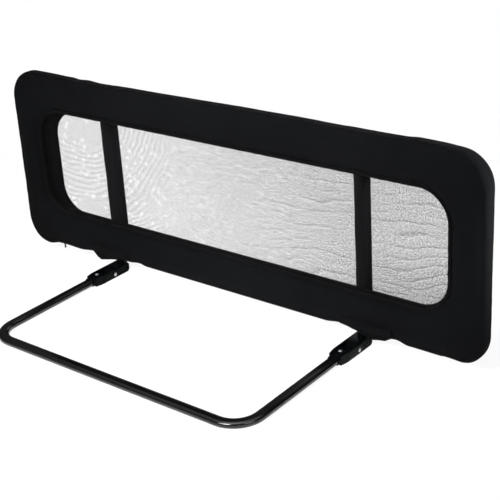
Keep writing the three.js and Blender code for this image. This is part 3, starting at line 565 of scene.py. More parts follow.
seedSteps = (17.3, 5.1, 9.7)   # how far apart in the noise two seeds lie


def wobble(points, scale, seed):
    offset = Vector([seed * step for step in seedSteps])
    return np.array([noise.noise(Vector(p) * scale + offset) for p in points])


def gathersAlong(walked, folds):   # folds: size, how many in a metre, where in the noise
    return np.array([sum(size * noise.noise(Vector((s * often, *spot))) for size, often, spot in folds)
                     for s in walked])


def vertexRows(mesh, what="co"):
    flat = np.empty(3 * len(mesh.vertices))
    mesh.vertices.foreach_get(what, flat)
    return flat.reshape(-1, 3)


def setPoints(piece, points):
    piece.data.vertices.foreach_set("co", np.asarray(points).ravel())
    piece.data.update()


paddedFront = {
    "crown": 0.0118,
    "seamDepth": 0.0224,
    "seamRound": 0.022,
    "edgeRound": 0.034,
    "edgeDepth": 0.0150,
    "back": 0.0552,
    "backRound": 0.0150,
    "spare": 0.0012,      # how far the stuffed edge stands out over the frame's outline
    "netLap": 0.0095,     # how far outside the net's outline the back ends
    # the cloth's turned-in edge, from the back to the seam: outline, outset, depth
    "turnedIn": ((netOutline, 0.0095, 0.0528), (netOutline, 0.0026, 0.0524),
                 (seamOutline, -0.0068, 0.0310), (seamOutline, -0.0034, 0.0256)),
    "cloth": {"quality": 5, "mass": 0.25, "tension_stiffness": 12, "compression_stiffness": 12,
              "shear_stiffness": 4, "bending_stiffness": 0.4, "vertex_group_mass": "held",
              "use_pressure": True, "uniform_pressure_force": 4.0, "shrink_min": -0.012},
    "cap": 0.0042,        # the most that the padding may swell
    "steps": 20,          # frames that the cloth is simulated for
    "roundSteps": {"seam": 7, "edge": 8, "back": 5},
    "creasedAfter": 3,    # steps from the seam until the cloth creases fully
    "heldAfter": 3,       # steps round the edge until the cloth begins to be held
    "sideCreased": 0.8,   # share of the creases on the narrow side and sideSteps further round
    "sideSteps": 3,
    "backCreased": 0.3,   # and from there to the back
    "pucker": 0.0009,
    "puckerFades": (0.7, 1.0, 0.8, 0.5, 0.25),   # in the rows next to the seam
    "gathers": ((1.0, 55, (3.1, 0.4)), (0.6, 150, (8.7, 1.9))),
    # noise scale, squeeze in height, seed, depth
    "creases": ((13.0, 1.0, 1, 0.0010), (42.0, 2.2, 2, 0.0004)),
}


# how far the cloth's edge stands above or below the straight line: place along the rail, height
edgeFolds = {
    "top": ((-0.500, 0.0010), (-0.420, -0.0004), (-0.399, -0.0025), (-0.372, -0.0006), (-0.334, -0.0027),
            (-0.240, -0.0012), (0.150, 0.0013), (0.300, 0.0002), (0.425, 0.0004), (0.457, 0.0029),
            (0.500, 0.0024), (0.545, 0.0)),
    "bottom": ((-0.600, -0.0100), (-0.546, -0.0112), (-0.500, -0.0018), (-0.440, -0.0030), (-0.398, 0.0018),
               (-0.285, 0.0008), (-0.253, 0.0046), (-0.232, 0.0012), (0.250, 0.0012), (0.284, 0.0056),
               (0.306, 0.0024), (0.385, 0.0010), (0.415, 0.0038), (0.440, -0.0016), (0.520, -0.0020),
               (0.580, -0.0044)),
    # height up the left end, how far the cloth bags out there
    "left": ((0.020, 0.0018), (0.060, 0.0034), (0.180, 0.0036), (0.380, 0.0)),
    "reach": 0.060,
}


def fadeIn(inward):   # 1 at the cloth's edge, 0 where the folds end
    near = np.clip(1 - inward / edgeFolds["reach"], 0.0, 1.0)
    return near * near * (3 - 2 * near)


def easedAlong(place, points):   # soft curve, level at each of its points
    places, values = (np.array(part) for part in zip(*points))
    place = np.clip(place, places[0], places[-1])
    before = np.clip(np.searchsorted(places, place, "right") - 1, 0, len(places) - 2)
    share = (place - places[before]) / (places[before + 1] - places[before])
    return values[before] + (values[before + 1] - values[before]) * share * share * (3 - 2 * share)


def edgeLift(x, z):
    top = guardOutline["bottom"] + guardOutline["height"]
    atTop = fadeIn(top - z) * easedAlong(x, edgeFolds["top"])
    return atTop + fadeIn(z - guardOutline["bottom"]) * easedAlong(x, edgeFolds["bottom"])


def liftEdges(loop):
    lifted = loop.copy()
    lifted[:, 2] += edgeLift(loop[:, 0], loop[:, 2])
    fromLeft = loop[:, 0] + guardOutline["width"] / 2
    lifted[:, 0] -= fadeIn(fromLeft) * easedAlong(loop[:, 2], edgeFolds["left"])
    return lifted


def paddedRows(pad):
    rows = []   # outline, outset, depth, how firmly held, how much it creases
    thirds = (0.33, 0.67)
    steps = pad["roundSteps"]
    for step in range(steps["seam"] + 1):
        angle = math.pi / 2 * (1 - step / steps["seam"])
        side = pad["seamRound"] * (1 - math.sin(angle))
        depth = pad["crown"] + (pad["seamDepth"] - pad["crown"]) * (1 - math.cos(angle))
        creased = min(1.0, step / pad["creasedAfter"])
        rows.append((seamOutline, side, depth, 1.0 if step == 0 else 0.0, creased))
    for share in thirds:
        rows.append(("between", share, pad["crown"], 0.0, 1.0))
    for step in range(steps["edge"] + 1):
        angle = math.pi / 2 * step / steps["edge"]
        side = pad["edgeRound"] * (1 - math.sin(angle)) - pad["spare"]
        depth = pad["crown"] + pad["edgeDepth"] * (1 - math.cos(angle))
        held = max(0.0, (step - pad["heldAfter"]) / (steps["edge"] - pad["heldAfter"])) ** 1.5
        rows.append((guardOutline, -side, depth, held, 1.0))
    start = pad["crown"] + pad["edgeDepth"]
    turn = pad["back"] - pad["backRound"]
    for share in thirds:
        rows.append((guardOutline, pad["spare"], start + share * (turn - start), 1.0, pad["sideCreased"]))
    for step in range(steps["back"] + 1):
        angle = math.pi / 2 * step / steps["back"]
        side = pad["backRound"] * (1 - math.cos(angle)) - pad["spare"] * math.cos(angle)
        depth = turn + pad["backRound"] * math.sin(angle)
        creased = pad["sideCreased"] if step < pad["sideSteps"] else pad["backCreased"]
        rows.append((guardOutline, -side, depth, 1.0, creased))
    for share in thirds:
        rows.append(("back", share, pad["back"], 1.0, 0.0))
    inner = ((netOutline, pad["netLap"], pad["back"]), *pad["turnedIn"])
    return rows + [(*row, 1.0, 0.0) for row in inner]


def paddedLoops(pad):
    loops, holds, softness = [], [], []
    seamSide = ringLoop(seamOutline, pad["seamRound"], pad["crown"])
    edgeSide = ringLoop(guardOutline, pad["spare"] - pad["edgeRound"], pad["crown"])
    backEdge = ringLoop(guardOutline, -pad["backRound"], pad["back"])
    backNet = ringLoop(netOutline, pad["netLap"], pad["back"])
    for outline, side, depth, held, soft in paddedRows(pad):
        if outline == "between":
            loops.append(seamSide * (1 - side) + edgeSide * side)
        elif outline == "back":
            loops.append(backEdge * (1 - side) + backNet * side)
        else:
            loops.append(ringLoop(outline, side, depth))
        holds.append(held)
        softness.append(soft)
    return [liftEdges(loop) for loop in loops], holds, softness


def inflate(piece, held, pad):
    scene = bpy.context.scene
    start = vertexRows(piece.data)
    group = piece.vertex_groups.new(name="held")
    for index in np.nonzero(held > 0)[0]:
        group.add([int(index)], float(held[index]), "REPLACE")
    cloth = piece.modifiers.new("padding", "CLOTH")
    for key, value in pad["cloth"].items():
        setattr(cloth.settings, key, value)
    cloth.settings.effector_weights.gravity = 0
    cloth.point_cache.frame_start = 1
    cloth.point_cache.frame_end = pad["steps"]
    for step in range(1, pad["steps"] + 1):
        scene.frame_set(step)
    shaped = piece.evaluated_get(bpy.context.evaluated_depsgraph_get())
    moved = vertexRows(shaped.data) - start
    piece.modifiers.remove(cloth)
    scene.frame_set(1)
    length = np.linalg.norm(moved, axis=1, keepdims=True)
    kept = pad["cap"] * np.tanh(length / pad["cap"]) / np.maximum(length, 1e-9)
    setPoints(piece, start + moved * kept)
    print("padding swelled by up to", round(float(length.max()), 4), "m, kept to", pad["cap"])


def seamPuckers(piece, seam, pad):
    points = vertexRows(piece.data)
    normals = vertexRows(piece.data, "normal")
    gathers = gathersAlong(np.cumsum(stepsOf(seam)), pad["gathers"])
    for row, fade in enumerate(pad["puckerFades"], start=1):
        block = slice(row * len(seam), (row + 1) * len(seam))
        points[block] += normals[block] * (gathers * pad["pucker"] * fade)[:, None]
    setPoints(piece, points)


def makePaddedFront(pad):
    loops, holds, softness = paddedLoops(pad)
    piece = loftMesh("paddedFront", loops, ringWidths(loops), coverMaterial)
    held = np.repeat(np.array(holds), len(ring))
    inflate(piece, held, pad)
    seamPuckers(piece, loops[0], pad)
    points = vertexRows(piece.data)
    normals = vertexRows(piece.data, "normal")
    creases = sum(wobble(points * (1, 1, squeeze), scale, seed) * deep
                  for scale, squeeze, seed, deep in pad["creases"])
    points += normals * (creases * np.repeat(np.array(softness), len(ring)))[:, None]
    setPoints(piece, points)
    smooth = piece.modifiers.new("fineSurface", "SUBSURF")
    smooth.levels = smooth.render_levels = 1
    return piece


padPiece = makePaddedFront(paddedFront)
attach(padPiece, "guard")
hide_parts("cover_front", "foam_padding")
print("padded front made")


stitching = {
    "pitch": 0.0046,
    "start": 0.1,        # in pitches
    "length": 0.0033,
    "radius": 0.00040,
    "proud": 0.4,        # how far its middle stands above the line, in radii
    "sunk": 0.0005,
    "sides": 6,
    # share of the stitch's length, thickness, how far it dips into the cloth
    "stations": ((0.0, 0.30, 1.0), (0.2, 0.90, 0.2), (0.5, 1.0, 0.0), (0.8, 0.90, 0.2), (1.0, 0.30, 1.0)),
}


def makeStitches(name, line, away, stitch):
    walked = np.concatenate([[0.0], np.cumsum(stepsOf(line))])
    closed, lifted = np.vstack([line, line[:1]]), np.vstack([away, away[:1]])
    vertices, faces = [], []
    radius, sides = stitch["radius"], stitch["sides"]
    for number in range(int(walked[-1] / stitch["pitch"])):
        begin = (number + stitch["start"]) * stitch["pitch"]
        ends = [np.array([np.interp(begin + add, walked, closed[:, axis]) for axis in range(3)])
                for add in (0.0, stitch["length"])]
        up = np.array([np.interp(begin, walked, lifted[:, axis]) for axis in range(3)])
        aside = np.cross(ends[1] - ends[0], up)
        aside /= np.linalg.norm(aside)
        faces += turnedOver(cappedTube(len(stitch["stations"]), sides, len(vertices)))
        for share, thick, depth in stitch["stations"]:
            height = radius * stitch["proud"] - depth * stitch["sunk"]
            centre = ends[0] * (1 - share) + ends[1] * share + up * height
            for step in range(sides):
                angle = 2 * math.pi * step / sides
                vertices.append(centre + radius * thick * (aside * math.cos(angle) + up * math.sin(angle)))
    return addMesh(name, vertices, faces, stitchMaterial)


windowFacing = {
    "start": 0.0192,
    "roll": 0.0095,
    "rollDepth": 0.010,
    "end": 0.0538,
    "thickness": 0.0012,
    "pucker": 0.0007,
    "puckerArch": (1.15, 0.6),   # speed and power of its rise and fall across the width
    "puckerEnd": 0.87,           # share of the width from which the facing lies smooth
    # size, how many in a metre, change across the width, where in the noise
    "gathers": ((1.0, 70, 2.5, 5.0), (0.7, 190, 3.5, 2.0)),
    "rollSteps": 10,
    "flatSteps": 10,
    "stitchRow": 5,
    "lip": 0.0022,
    "sewnOutset": 0.0006,
    "sewnDepth": 1.5,              # in lips
    "besideSewn": (-0.3, 0.45),    # outset and depth of the next row, in lips
    "stitchAway": (-0.42, -0.907),
}


def facingLoops(facing):
    lip, start = facing["lip"], facing["start"]
    outset, depth = facing["besideSewn"]
    rows = [(facing["sewnOutset"], start + facing["sewnDepth"] * lip), (outset * lip, start + depth * lip)]
    for step in range(facing["rollSteps"] + 1):
        angle = math.pi / 2 * step / facing["rollSteps"]
        rows.append((-lip - (facing["roll"] - lip) * math.sin(angle),
                     start + facing["rollDepth"] * (1 - math.cos(angle))))
    loops = [ringLoop(seamOutline, side, depth) for side, depth in rows]
    last = loops[-1]
    edge = ringLoop(netOutline, 0.0, facing["end"])
    for step in range(1, facing["flatSteps"] + 1):
        share = step / facing["flatSteps"]
        loops.append(last * (1 - share) + edge * share)
    return loops


def makeFacing(facing):
    loops = facingLoops(facing)
    walked = np.cumsum(stepsOf(loops[0]))
    speed, power = facing["puckerArch"]
    outward = np.zeros((len(ring), 3))
    outward[:, 0] = ring[:, 2]
    outward[:, 2] = ring[:, 3]
    shaped = []
    for index, loop in enumerate(loops):
        share = index / (len(loops) - 1)
        strength = 0.0
        if 0 < share < facing["puckerEnd"]:
            strength = facing["pucker"] * math.sin(math.pi * min(1.0, share * speed)) ** power
        folds = gathersAlong(walked, [(size, often, (share * change, spot))
                                      for size, often, change, spot in facing["gathers"]])
        shaped.append(loop + outward * (folds * strength)[:, None])
    hidden = [loop + outward * facing["thickness"] for loop in reversed(shaped)]
    widths = ringWidths(shaped + hidden)
    inward, forward = facing["stitchAway"]
    away = inward * outward + np.array((0, forward, 0))
    stitches = makeStitches("facingStitches", shaped[facing["stitchRow"]], away, stitching)
    piece = loftMesh("windowFacing", shaped + hidden, widths, facingMaterial)
    return piece, stitches, (widths[len(shaped) - 1], float(stepsOf(shaped[0]).sum()))


facingPiece, facingStitches, facingCut = makeFacing(windowFacing)
for piece in (facingPiece, facingStitches):
    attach(piece, "guard")
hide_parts(*[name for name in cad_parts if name.startswith("window_facing")])
print("window facing made")


netSheet = {"depth": 0.0547, "border": 0.0075, "inner": 0.050, "rows": 9}


def makeNet(net):
    outline = ringLoop(netOutline, net["border"], net["depth"])
    inner = ringLoop(netOutline, -net["inner"], net["depth"])
    vertices = np.concatenate([outline * (1 - s) + inner * s for s in np.linspace(0, 1, net["rows"])])
    count = len(ring)
    faces = ringFaces(net["rows"], count)
    faces.append(tuple((net["rows"] - 1) * count + column for column in range(count)))
    return addMesh("windowNet", vertices, faces, netClothMaterial, spread(vertices, faces, 0, 2))


netPiece = makeNet(netSheet)
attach(netPiece, "guard")
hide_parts("window_mesh")
print("net made")


backPanel = {
    "front": 0.0556,
    "back": 0.0570,
    "hem": 0.0115,
    "edge": 0.0156,
    "fold": 0.0009,      # how far the hem's fold stands up
    "lap": 0.0060,       # how far the hem is turned under
    "level": 0.012,      # how far outside the hem the panel lies level
    "step": 0.0004,      # width of the step up on to the hem
    "stitchedAt": 0.6,   # share of the hem's width
    "rounded": (0.0012, 0.0002),   # how far outside the window's edge its rounding runs
    # way in from the edge, how deep the seam is pressed in there
    "edgeSeam": ((0.0002, 0.0004), (0.0014, 0.0), (0.0064, 0.0), (0.0077, 0.0004), (0.0090, 0.0),
                 (0.0180, 0.0)),
    "sags": ((9.0, 6, 0.0008), (30.0, 7, 0.0004)),   # noise scale, seed, depth
    "saggingRows": 10,
}


def makeBackPanel(panel):
    edge, back, front, hem, fold = (panel[key] for key in ("edge", "back", "front", "hem", "fold"))
    rows = [(guardOutline, -edge, front)]
    rows += [(guardOutline, -edge - inward, back - pressed) for inward, pressed in panel["edgeSeam"]]
    loops = [liftEdges(ringLoop(*row)) for row in rows]
    outside, atEdge = panel["rounded"]
    hemRows = ((hem + panel["level"], back), (hem + panel["step"], back), (hem, back + fold),
               (outside, back + fold), (atEdge, back + fold / 3), (0.0, front), (panel["lap"], front))
    hemLoops = [ringLoop(netOutline, outset, depth) for outset, depth in hemRows]
    outer, inner = loops[-1], hemLoops[0]
    pressedRows = len(loops)
    for share in np.linspace(0, 1, panel["saggingRows"] + 2)[1:-1]:
        loops.append(outer * (1 - share) + inner * share)
    for index, loop in enumerate(loops):
        if index >= pressedRows:
            loop[:, 1] += sum(deep * wobble(loop, scale, seed) for scale, seed, deep in panel["sags"])
    allLoops = loops + hemLoops
    piece = loftMesh("backPanel", allLoops, ringWidths(allLoops), coverMaterial)
    behind = np.tile((0.0, 1.0, 0.0), (len(ring), 1))
    hemLine = ringLoop(netOutline, panel["stitchedAt"] * hem, back + fold)
    edgeLine = (loops[2] + loops[3]) / 2
    return piece, [makeStitches("hemStitches", hemLine, behind, stitching),
                   makeStitches("edgeStitches", edgeLine, behind, stitching)]


backPiece, backStitches = makeBackPanel(backPanel)
for piece in (backPiece, *backStitches):
    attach(piece, "guard")
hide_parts("cover_back")
print("back panel made")


postSleeve = {
    "front": {"left": 0.0152, "right": 0.0118},   # half width round the tube
    "foot": {"left": 0.0215, "right": 0.0150},    # half width where it is sewn to the net
    "seed": {"left": 11, "right": 12},
    "depth": 0.0115,
    "middle": 0.0415,
    "netSide": 0.0540,
    "lip": (0.0008, 0.0006),                     # first step in from the sewn edge: aside, forwards
    "flare": ((0.0016, 0.72), (0.0003, 0.36)),   # beyond the half width, share of the way to the net
    "rimWeave": 0.001,
    "bottom": 0.104,
    "top": 0.383,
    "wall": 0.0011,
    "wallFrom": 0.0125,   # distance from the middle at which the inner layer lies one wall further in
    "slackFrom": 0.012,   # depth from the tube's middle where the cloth no longer lies on the tube
    "drapes": {"across": 60, "up": 24, "size": 0.050},
    "creases": {"across": 90, "up": 85, "lean": 900, "size": 0.022},
    "rows": 96,
    "around": 44,
}


def sleeveSection(side, sleeve):
    half, foot, deep = sleeve["front"][side], sleeve["foot"][side], sleeve["depth"]
    sewn = sleeve["netSide"] - sleeve["middle"]
    aside, forwards = sleeve["lip"]
    flare = [(foot, sewn), (foot - aside, sewn - forwards)]
    flare += [(half + beyond, sewn * share) for beyond, share in sleeve["flare"]]
    points = [(-x, y) for x, y in flare]
    for step in range(sleeve["around"] + 1):
        angle = math.pi * step / sleeve["around"]
        points.append((-half * math.cos(angle), -deep * math.sin(angle)))
    return points + flare[::-1]


def sleevePoint(x, y, height, inside, side, sleeve):
    seed, drapes, creases = sleeve["seed"][side], sleeve["drapes"], sleeve["creases"]
    tautness = max(0.0, min(1.0, (sleeve["slackFrom"] - y) / sleeve["slackFrom"]))
    drape = noise.noise(Vector((x * drapes["across"], y * drapes["across"], height * drapes["up"] + seed)))
    lean = height * creases["up"] + x * creases["lean"] + seed * 3
    crease = noise.noise(Vector((x * creases["across"], y * creases["across"], lean)))
    swell = 1 + tautness * (drapes["size"] * drape + creases["size"] * crease)
    if inside:
        swell -= sleeve["wall"] / sleeve["wallFrom"]
    return postSpots[side] + x * swell, pinDepth + sleeve["middle"] + (y * swell if y < 0 else y), height


def makeSleeve(side, sleeve):
    section = sleeveSection(side, sleeve)
    heights = np.linspace(sleeve["bottom"], sleeve["top"], sleeve["rows"])
    vertices = [sleevePoint(x, y, height, inside, side, sleeve)
                for inside in (False, True) for height in heights for x, y in section]
    walked = profileWidths(section)[:len(section)]
    flat = [(width, height) for height in heights for width in walked] * 2
    sheets, rim = shellFaces(sleeve["rows"], len(section))
    patch = sleeve["rimWeave"]
    corners = spread(flat, sheets, 0, 1) + [(0, 0), (patch, 0), (patch, patch), (0, patch)] * len(rim)
    piece = addMesh("postSleeve" + side.capitalize(), vertices, sheets + rim, sleeveMaterial, corners)
    return piece, (walked[-1], sleeve["top"] - sleeve["bottom"])


for side in postSpots:
    sleevePiece, sleeveCut = makeSleeve(side, postSleeve)
    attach(sleevePiece, "guard")
    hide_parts("post_sleeve_" + side)
print("post sleeves made")


hingeFlap = {
    # distance outwards from the hinge, height of the flap's free edge
    "left": ((-0.044, 0.0415), (-0.018, 0.0352), (0.013, 0.0298), (0.047, 0.0215), (0.059, 0.0258),
             (0.072, 0.0410)),
    "right": ((-0.040, 0.0420), (-0.010, 0.0360), (0.0125, 0.0298), (0.033, 0.0244), (0.062, 0.0310),
              (0.080, 0.0420)),
    "seed": {"left": 21, "right": 23},
    "top": 0.062,
    "seam": 0.0400,
    "thickness": 0.0009,
    "gap": 0.0012,       # from the padded front
    "hangReach": 0.0115,   # length below the seam over which the cloth stands off by hangOut
    "hangOut": 0.0010,
    "waves": {"along": 55, "down": 40, "size": 0.0011, "atSeam": 0.3},
    "frays": {"along": 90, "size": 0.0007},
    "across": 96,
    "down": 24,
}


def padDepthAt(height):
    inward = min(max(height - guardOutline["bottom"], 0.0), paddedFront["edgeRound"])
    share = 1 - inward / paddedFront["edgeRound"]
    return paddedFront["crown"] + paddedFront["edgeDepth"] * (1 - math.sqrt(max(0.0, 1 - share * share)))


def makeFlap(side, flap):
    across, down, seed = flap["across"], flap["down"], flap["seed"][side]
    waves, frays = flap["waves"], flap["frays"]
    outwards = -1 if side == "left" else 1
    places = [place for place, height in flap[side]]
    heights = [height for place, height in flap[side]]
    vertices = []
    for row in range(down + 1):
        for column in range(across + 1):
            place = places[0] + (places[-1] - places[0]) * column / across
            foot = float(np.interp(place, places, heights))
            foot += frays["size"] * noise.noise(Vector((place * frays["along"], seed, 0.3)))
            height = flap["top"] + (foot - flap["top"]) * (row / down)
            hang = max(0.0, flap["seam"] - height) / flap["hangReach"]
            wave = noise.noise(Vector((place * waves["along"], seed, height * waves["down"])))
            depth = padDepthAt(max(height, flap["seam"])) + flap["gap"] + flap["hangOut"] * hang
            depth += wave * waves["size"] * (waves["atSeam"] + hang)
            vertices.append((postSpots[side] + outwards * place, pinDepth + depth, height))
    vertices += [(x, y + flap["thickness"], z) for x, y, z in vertices]
    sheets, rim = shellFaces(down + 1, across + 1)
    faces = turnedOver(sheets + rim)
    if side == "left":
        faces = [face[::-1] for face in faces]
    corners = spread(vertices, faces, 0, 2)
    piece = addMesh("hingeFlap" + side.capitalize(), vertices, faces, coverMaterial, corners)
    cut = (places[-1] - places[0], flap["top"] - min(heights))
    parts = zip(places, places[1:], heights, heights[1:])
    return piece, cut, sum((b - a) * (flap["top"] - (c + d) / 2) for a, b, c, d in parts)


for side in postSpots:
    flapPiece, flapCut, flapArea = makeFlap(side, hingeFlap)
    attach(flapPiece, "guard")
    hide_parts("hinge_flap_" + side)
print("flaps made")


zipRun = {
    "halfLength": 0.508,
    "middle": 0.0285,
    "tapeWidth": 0.0105,
    "tapeTop": 0.0367,
    "tapeBottom": 0.0359,
    "tapeSpare": 0.005,       # how far the tape runs on past the teeth
    "rib": 0.00012,
    "ribsFrom": 0.55,         # share of the half width where the ribs begin
    "ribsInMetre": 2000,
    "threads": 13,
    "stations": 340,
    "toothPitch": 0.0025,
    "toothFill": 0.9,         # of the pitch
    "toothEnds": ((-0.0005, 0.8), (0.0018, 1.0)),   # place across the zip, narrowing
    # one tooth: along in pitches, height in tooth heights
    "tooth": ((-0.42, 0.0), (-0.42, -0.7), (-0.20, -1.0), (0.20, -1.0), (0.42, -0.7), (0.42, 0.0)),
    "top": 0.0356,
    "bottom": 0.0344,
}


def makeTape(run):
    half = run["tapeWidth"] / 2
    reach = run["halfLength"] + run["tapeSpare"]
    rows = []
    for place in np.linspace(-half, half, run["threads"]):
        ribbed = abs(place) > half * run["ribsFrom"] and int(round(place * run["ribsInMetre"])) % 2
        rows.append((place, run["tapeBottom"] - (run["rib"] if ribbed else 0)))
    rows += [(half, run["tapeTop"]), (-half, run["tapeTop"])]
    stations = np.linspace(-reach, reach, run["stations"])
    middle = pinDepth + run["middle"]
    vertices = np.array([(x, middle + place, height) for x in stations for place, height in rows])
    vertices[:, 2] += [edgeLift(x, guardOutline["bottom"]) for x in vertices[:, 0]]
    faces = turnedOver(cappedTube(len(stations), len(rows)))
    return addMesh("zipTape", vertices, faces, coverMaterial, spread(vertices, faces, 0, 1))


def makeTeeth(run):
    vertices, faces = [], []
    pitch, middle = run["toothPitch"], pinDepth + run["middle"]
    for tooth in range(int(2 * run["halfLength"] / pitch)):
        x = -run["halfLength"] + (tooth + 0.5) * pitch
        top = run["top"] + edgeLift(x, guardOutline["bottom"])
        side = 1 if tooth % 2 else -1
        shell = cappedTube(2, len(run["tooth"]), len(vertices))
        faces += [face[::-1] for face in shell] if side > 0 else shell
        for end, narrow in run["toothEnds"]:
            for along, down in run["tooth"]:
                vertices.append((x + along * pitch * run["toothFill"] * narrow, middle + end * side,
                                 top + down * (run["top"] - run["bottom"])))
    return addMesh("zipTeeth", vertices, faces, fittingMaterial)


tapePiece = makeTape(zipRun)
teethPiece = makeTeeth(zipRun)
zipRows = ((tapePiece, "zip_tape", "cover_fabric"), (teethPiece, "zip_chain", "fitting_plastic"))
for piece, node, slot in zipRows:
    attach(piece, "guard")
    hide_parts(node)
print("zip made")


baseTube = {
    "width": 0.023,
    "height": 0.0135,
    "bend": 0.054,
    "reach": 0.3425,
    "end": 0.028,
    "wall": 0.0012,
    "rise": 0.00325,      # of the legs, over riseRun
    "riseRun": 0.3035,
    "legSteps": 13,
    "bendSteps": 16,
    "barSteps": 23,
    "roundSteps": 14,
    "flatLength": 2.6,    # over which the coat is laid out
}


def ovalSection(width, height, steps):
    radius = height / 2
    reach = (width - height) / 2
    points = []
    for side in (1, -1):
        for step in range(steps + 1):
            angle = math.pi / 2 * (2 * step / steps - 1)
            points.append((side * (reach + radius * math.cos(angle)), side * radius * math.sin(angle)))
        for share in (0.5, 0.0, -0.5):
            points.append((side * reach * share, side * radius))
    return points


def bentStations(half, length, tube):
    bend, steps = tube["bend"], tube["bendSteps"]
    leg = []   # x, y and the way that the tube runs there
    for share in np.linspace(0, 1, tube["legSteps"] + 1)[:-1]:
        leg.append((-half, length + (bend - length) * share, 0.0, -1.0))
    for step in range(steps + 1):
        angle = math.pi / 2 * step / steps
        leg.append((-half + bend - bend * math.cos(angle), bend - bend * math.sin(angle),
                    math.sin(angle), -math.cos(angle)))
    bar = [(-half + bend + 2 * (half - bend) * share, 0.0, 1.0, 0.0)
           for share in np.linspace(0, 1, tube["barSteps"] + 1)[1:-1]]
    return leg + bar + [(-x, y, dx, -dy) for x, y, dx, dy in reversed(leg)]


def makeBaseTube(tube):
    tilt = math.atan2(tube["rise"], tube["riseRun"])
    barHeight = tube["height"] / 2 * math.cos(tilt) + (tube["width"] - tube["height"]) / 2 * math.sin(tilt)
    length = (tube["reach"] - tube["end"]) / math.cos(tilt)
    stations = bentStations(postSpots["right"], length, tube)
    barDepth = pinDepth - tube["reach"]
    loops = []
    for wall, run in ((0.0, stations), (tube["wall"], stations[::-1])):
        section = ovalSection(tube["width"] - 2 * wall, tube["height"] - 2 * wall, tube["roundSteps"])
        for x, y, dx, dy in run:
            loop = []
            for side, over in section:
                alongX, alongY = x + side * dy, y - side * dx
                loop.append((alongX, barDepth + alongY * math.cos(tilt) - over * math.sin(tilt),
                             barHeight + alongY * math.sin(tilt) + over * math.cos(tilt)))
            loops.append(np.array(loop))
    walked = list(np.linspace(0, tube["flatLength"], len(loops) + 1))
    return loftMesh("baseTube", loops, walked, coatMaterial)


tubePiece = makeBaseTube(baseTube)
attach(tubePiece, "base")
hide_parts("base_tube")
print("base tube made")


hardPieces = (
    (hingeMaterial, ("hinge_housing", "hinge_knuckle")),
    (rivetMaterial, ("hinge_pin", "tube_rivet", "fitting_screw", "zip_stop")),
    (coatMaterial, ("post_rivet", "post_tube", "end_hoop", "top_rail", "bottom_rail")),
    (fittingMaterial, ("top_fitting", "cross_fitting")),
    (zipMaterial, ("zip_slider", "zip_puller")),
)
weldDistance = 0.00002
edgeAngle = math.radians(33)

for name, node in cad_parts.items():
    for material, starts in hardPieces:
        if name.startswith(starts):
            for slot in node.material_slots:
                slot.material = material
            node.data.polygons.foreach_set("use_smooth", [True] * len(node.data.polygons))
            weld = node.modifiers.new("oneSkin", "WELD")
            weld.merge_threshold = weldDistance
            crisp = node.modifiers.new("crispEdges", "EDGE_SPLIT")
            crisp.split_angle = edgeAngle
print("hard pieces finished")


studio = {
    "floorColour": (0.93, 0.93, 0.93),
    "floorReach": 9.0,
    "floorSteps": 6,
    "whiteShare": 0.85,         # how much of the floor's white is its own round the object
    "whiteSpan": (0.75, 1.6),   # distances between which the rest comes in
    "horizon": 0.10,            # the sky's light low down
    "zenith": 1.50,             # and straight above
    "skySpan": (0.60, 1.00),    # heights between which it brightens
    # place, what it points at, size, power, spread in degrees
    "lamps": {
        "keyLamp": ((2.9, -0.7, 1.7), (0.2, 0.1, 0.2), (1.5, 1.5), 29.0, 180),
        "middleLamp": ((0.10, -1.5, 1.3), (0.06, 0.16, 0.36), (1.0, 0.6), 11.5, 54),
        "sideLamp": ((2.6, 0.50, 0.55), (0.6, 0.16, 0.36), (0.15, 0.30), 1.7, 13),
        "fillLamp": ((-2.0, -2.5, 1.3), (0.0, 0.1, 0.2), (2.0, 0.25), 1.8, 180),
        "backLamp": ((-0.6, 2.9, 1.7), (0.0, 0.2, 0.25), (1.8, 1.2), 16.0, 180),
        "topLamp": ((0.3, -0.7, 2.3), (0.1, 0.1, 0.2), (1.6, 1.2), 18.0, 180),
    },
}


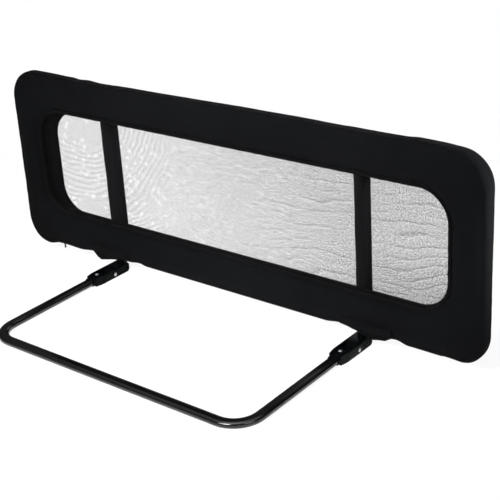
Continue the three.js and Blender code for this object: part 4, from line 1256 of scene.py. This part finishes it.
def backdropMaterial(name, setup):
    look = Look(name)
    place = look.coordinates("Object")
    colours = (shaded(setup["floorColour"], 0.985), setup["floorColour"])
    look.finish({
        "Base Color": look.ramp(look.noise(place, 3.0), evenStops, colours),
        "Roughness": 0.9,
        "Specular IOR Level": 0.1,
    })
    glow = look.add("ShaderNodeEmission", inputs={"Color": (1, 1, 1, 1), "Strength": 1.0})
    far = look.ease(look.vector("LENGTH", {0: place}).outputs["Value"], *setup["whiteSpan"])
    share = look.timesPlus(far, 1.0 - setup["whiteShare"], setup["whiteShare"])
    inputs = {0: look.times(look.cameraRay(), share), 1: look.shader.outputs[0], 2: glow.outputs[0]}
    mixed = look.add("ShaderNodeMixShader", inputs=inputs)
    look.join(mixed.outputs[0], look.tree.nodes["Material Output"].inputs["Surface"])
    return look.material


def makeFloor(setup):
    steps = setup["floorSteps"]
    across = [setup["floorReach"] * (2 * step / steps - 1) for step in range(steps + 1)]
    vertices = [(x, y, 0.0) for y in across for x in across]
    faces = gridFaces(steps + 1, steps + 1)
    addMesh("studioFloor", vertices, faces, backdropMaterial("paleStudio", setup))


def makeWorld(setup):
    world = bpy.data.worlds.new("studioSky")
    bpy.context.scene.world = world
    world.use_nodes = True
    sky = Nodes(world.node_tree)
    height = sky.axes(sky.coordinates("Generated"))[2]
    horizon, zenith = setup["horizon"], setup["zenith"]
    light = sky.timesPlus(sky.ease(height, *setup["skySpan"]), zenith - horizon, horizon)
    background = world.node_tree.nodes["Background"]
    sky.join(sky.math("MAXIMUM", sky.cameraRay(), light), background.inputs["Strength"])
    background.inputs["Color"].default_value = (1, 1, 1, 1)


def addLamp(name, place, target, size, power, spreadAngle):
    data = bpy.data.lights.new(name, "AREA")
    data.spread = math.radians(spreadAngle)
    data.shape = "RECTANGLE"
    data.size, data.size_y = size
    data.energy = power
    lamp = newObject(name, data)
    lamp.location = place
    lamp.rotation_euler = (Vector(target) - Vector(place)).to_track_quat("-Z", "Y").to_euler()


makeFloor(studio)
makeWorld(studio)
for name, lamp in studio["lamps"].items():
    addLamp(name, *lamp)
bpy.context.scene.view_settings.view_transform = "Standard"
print("studio set")
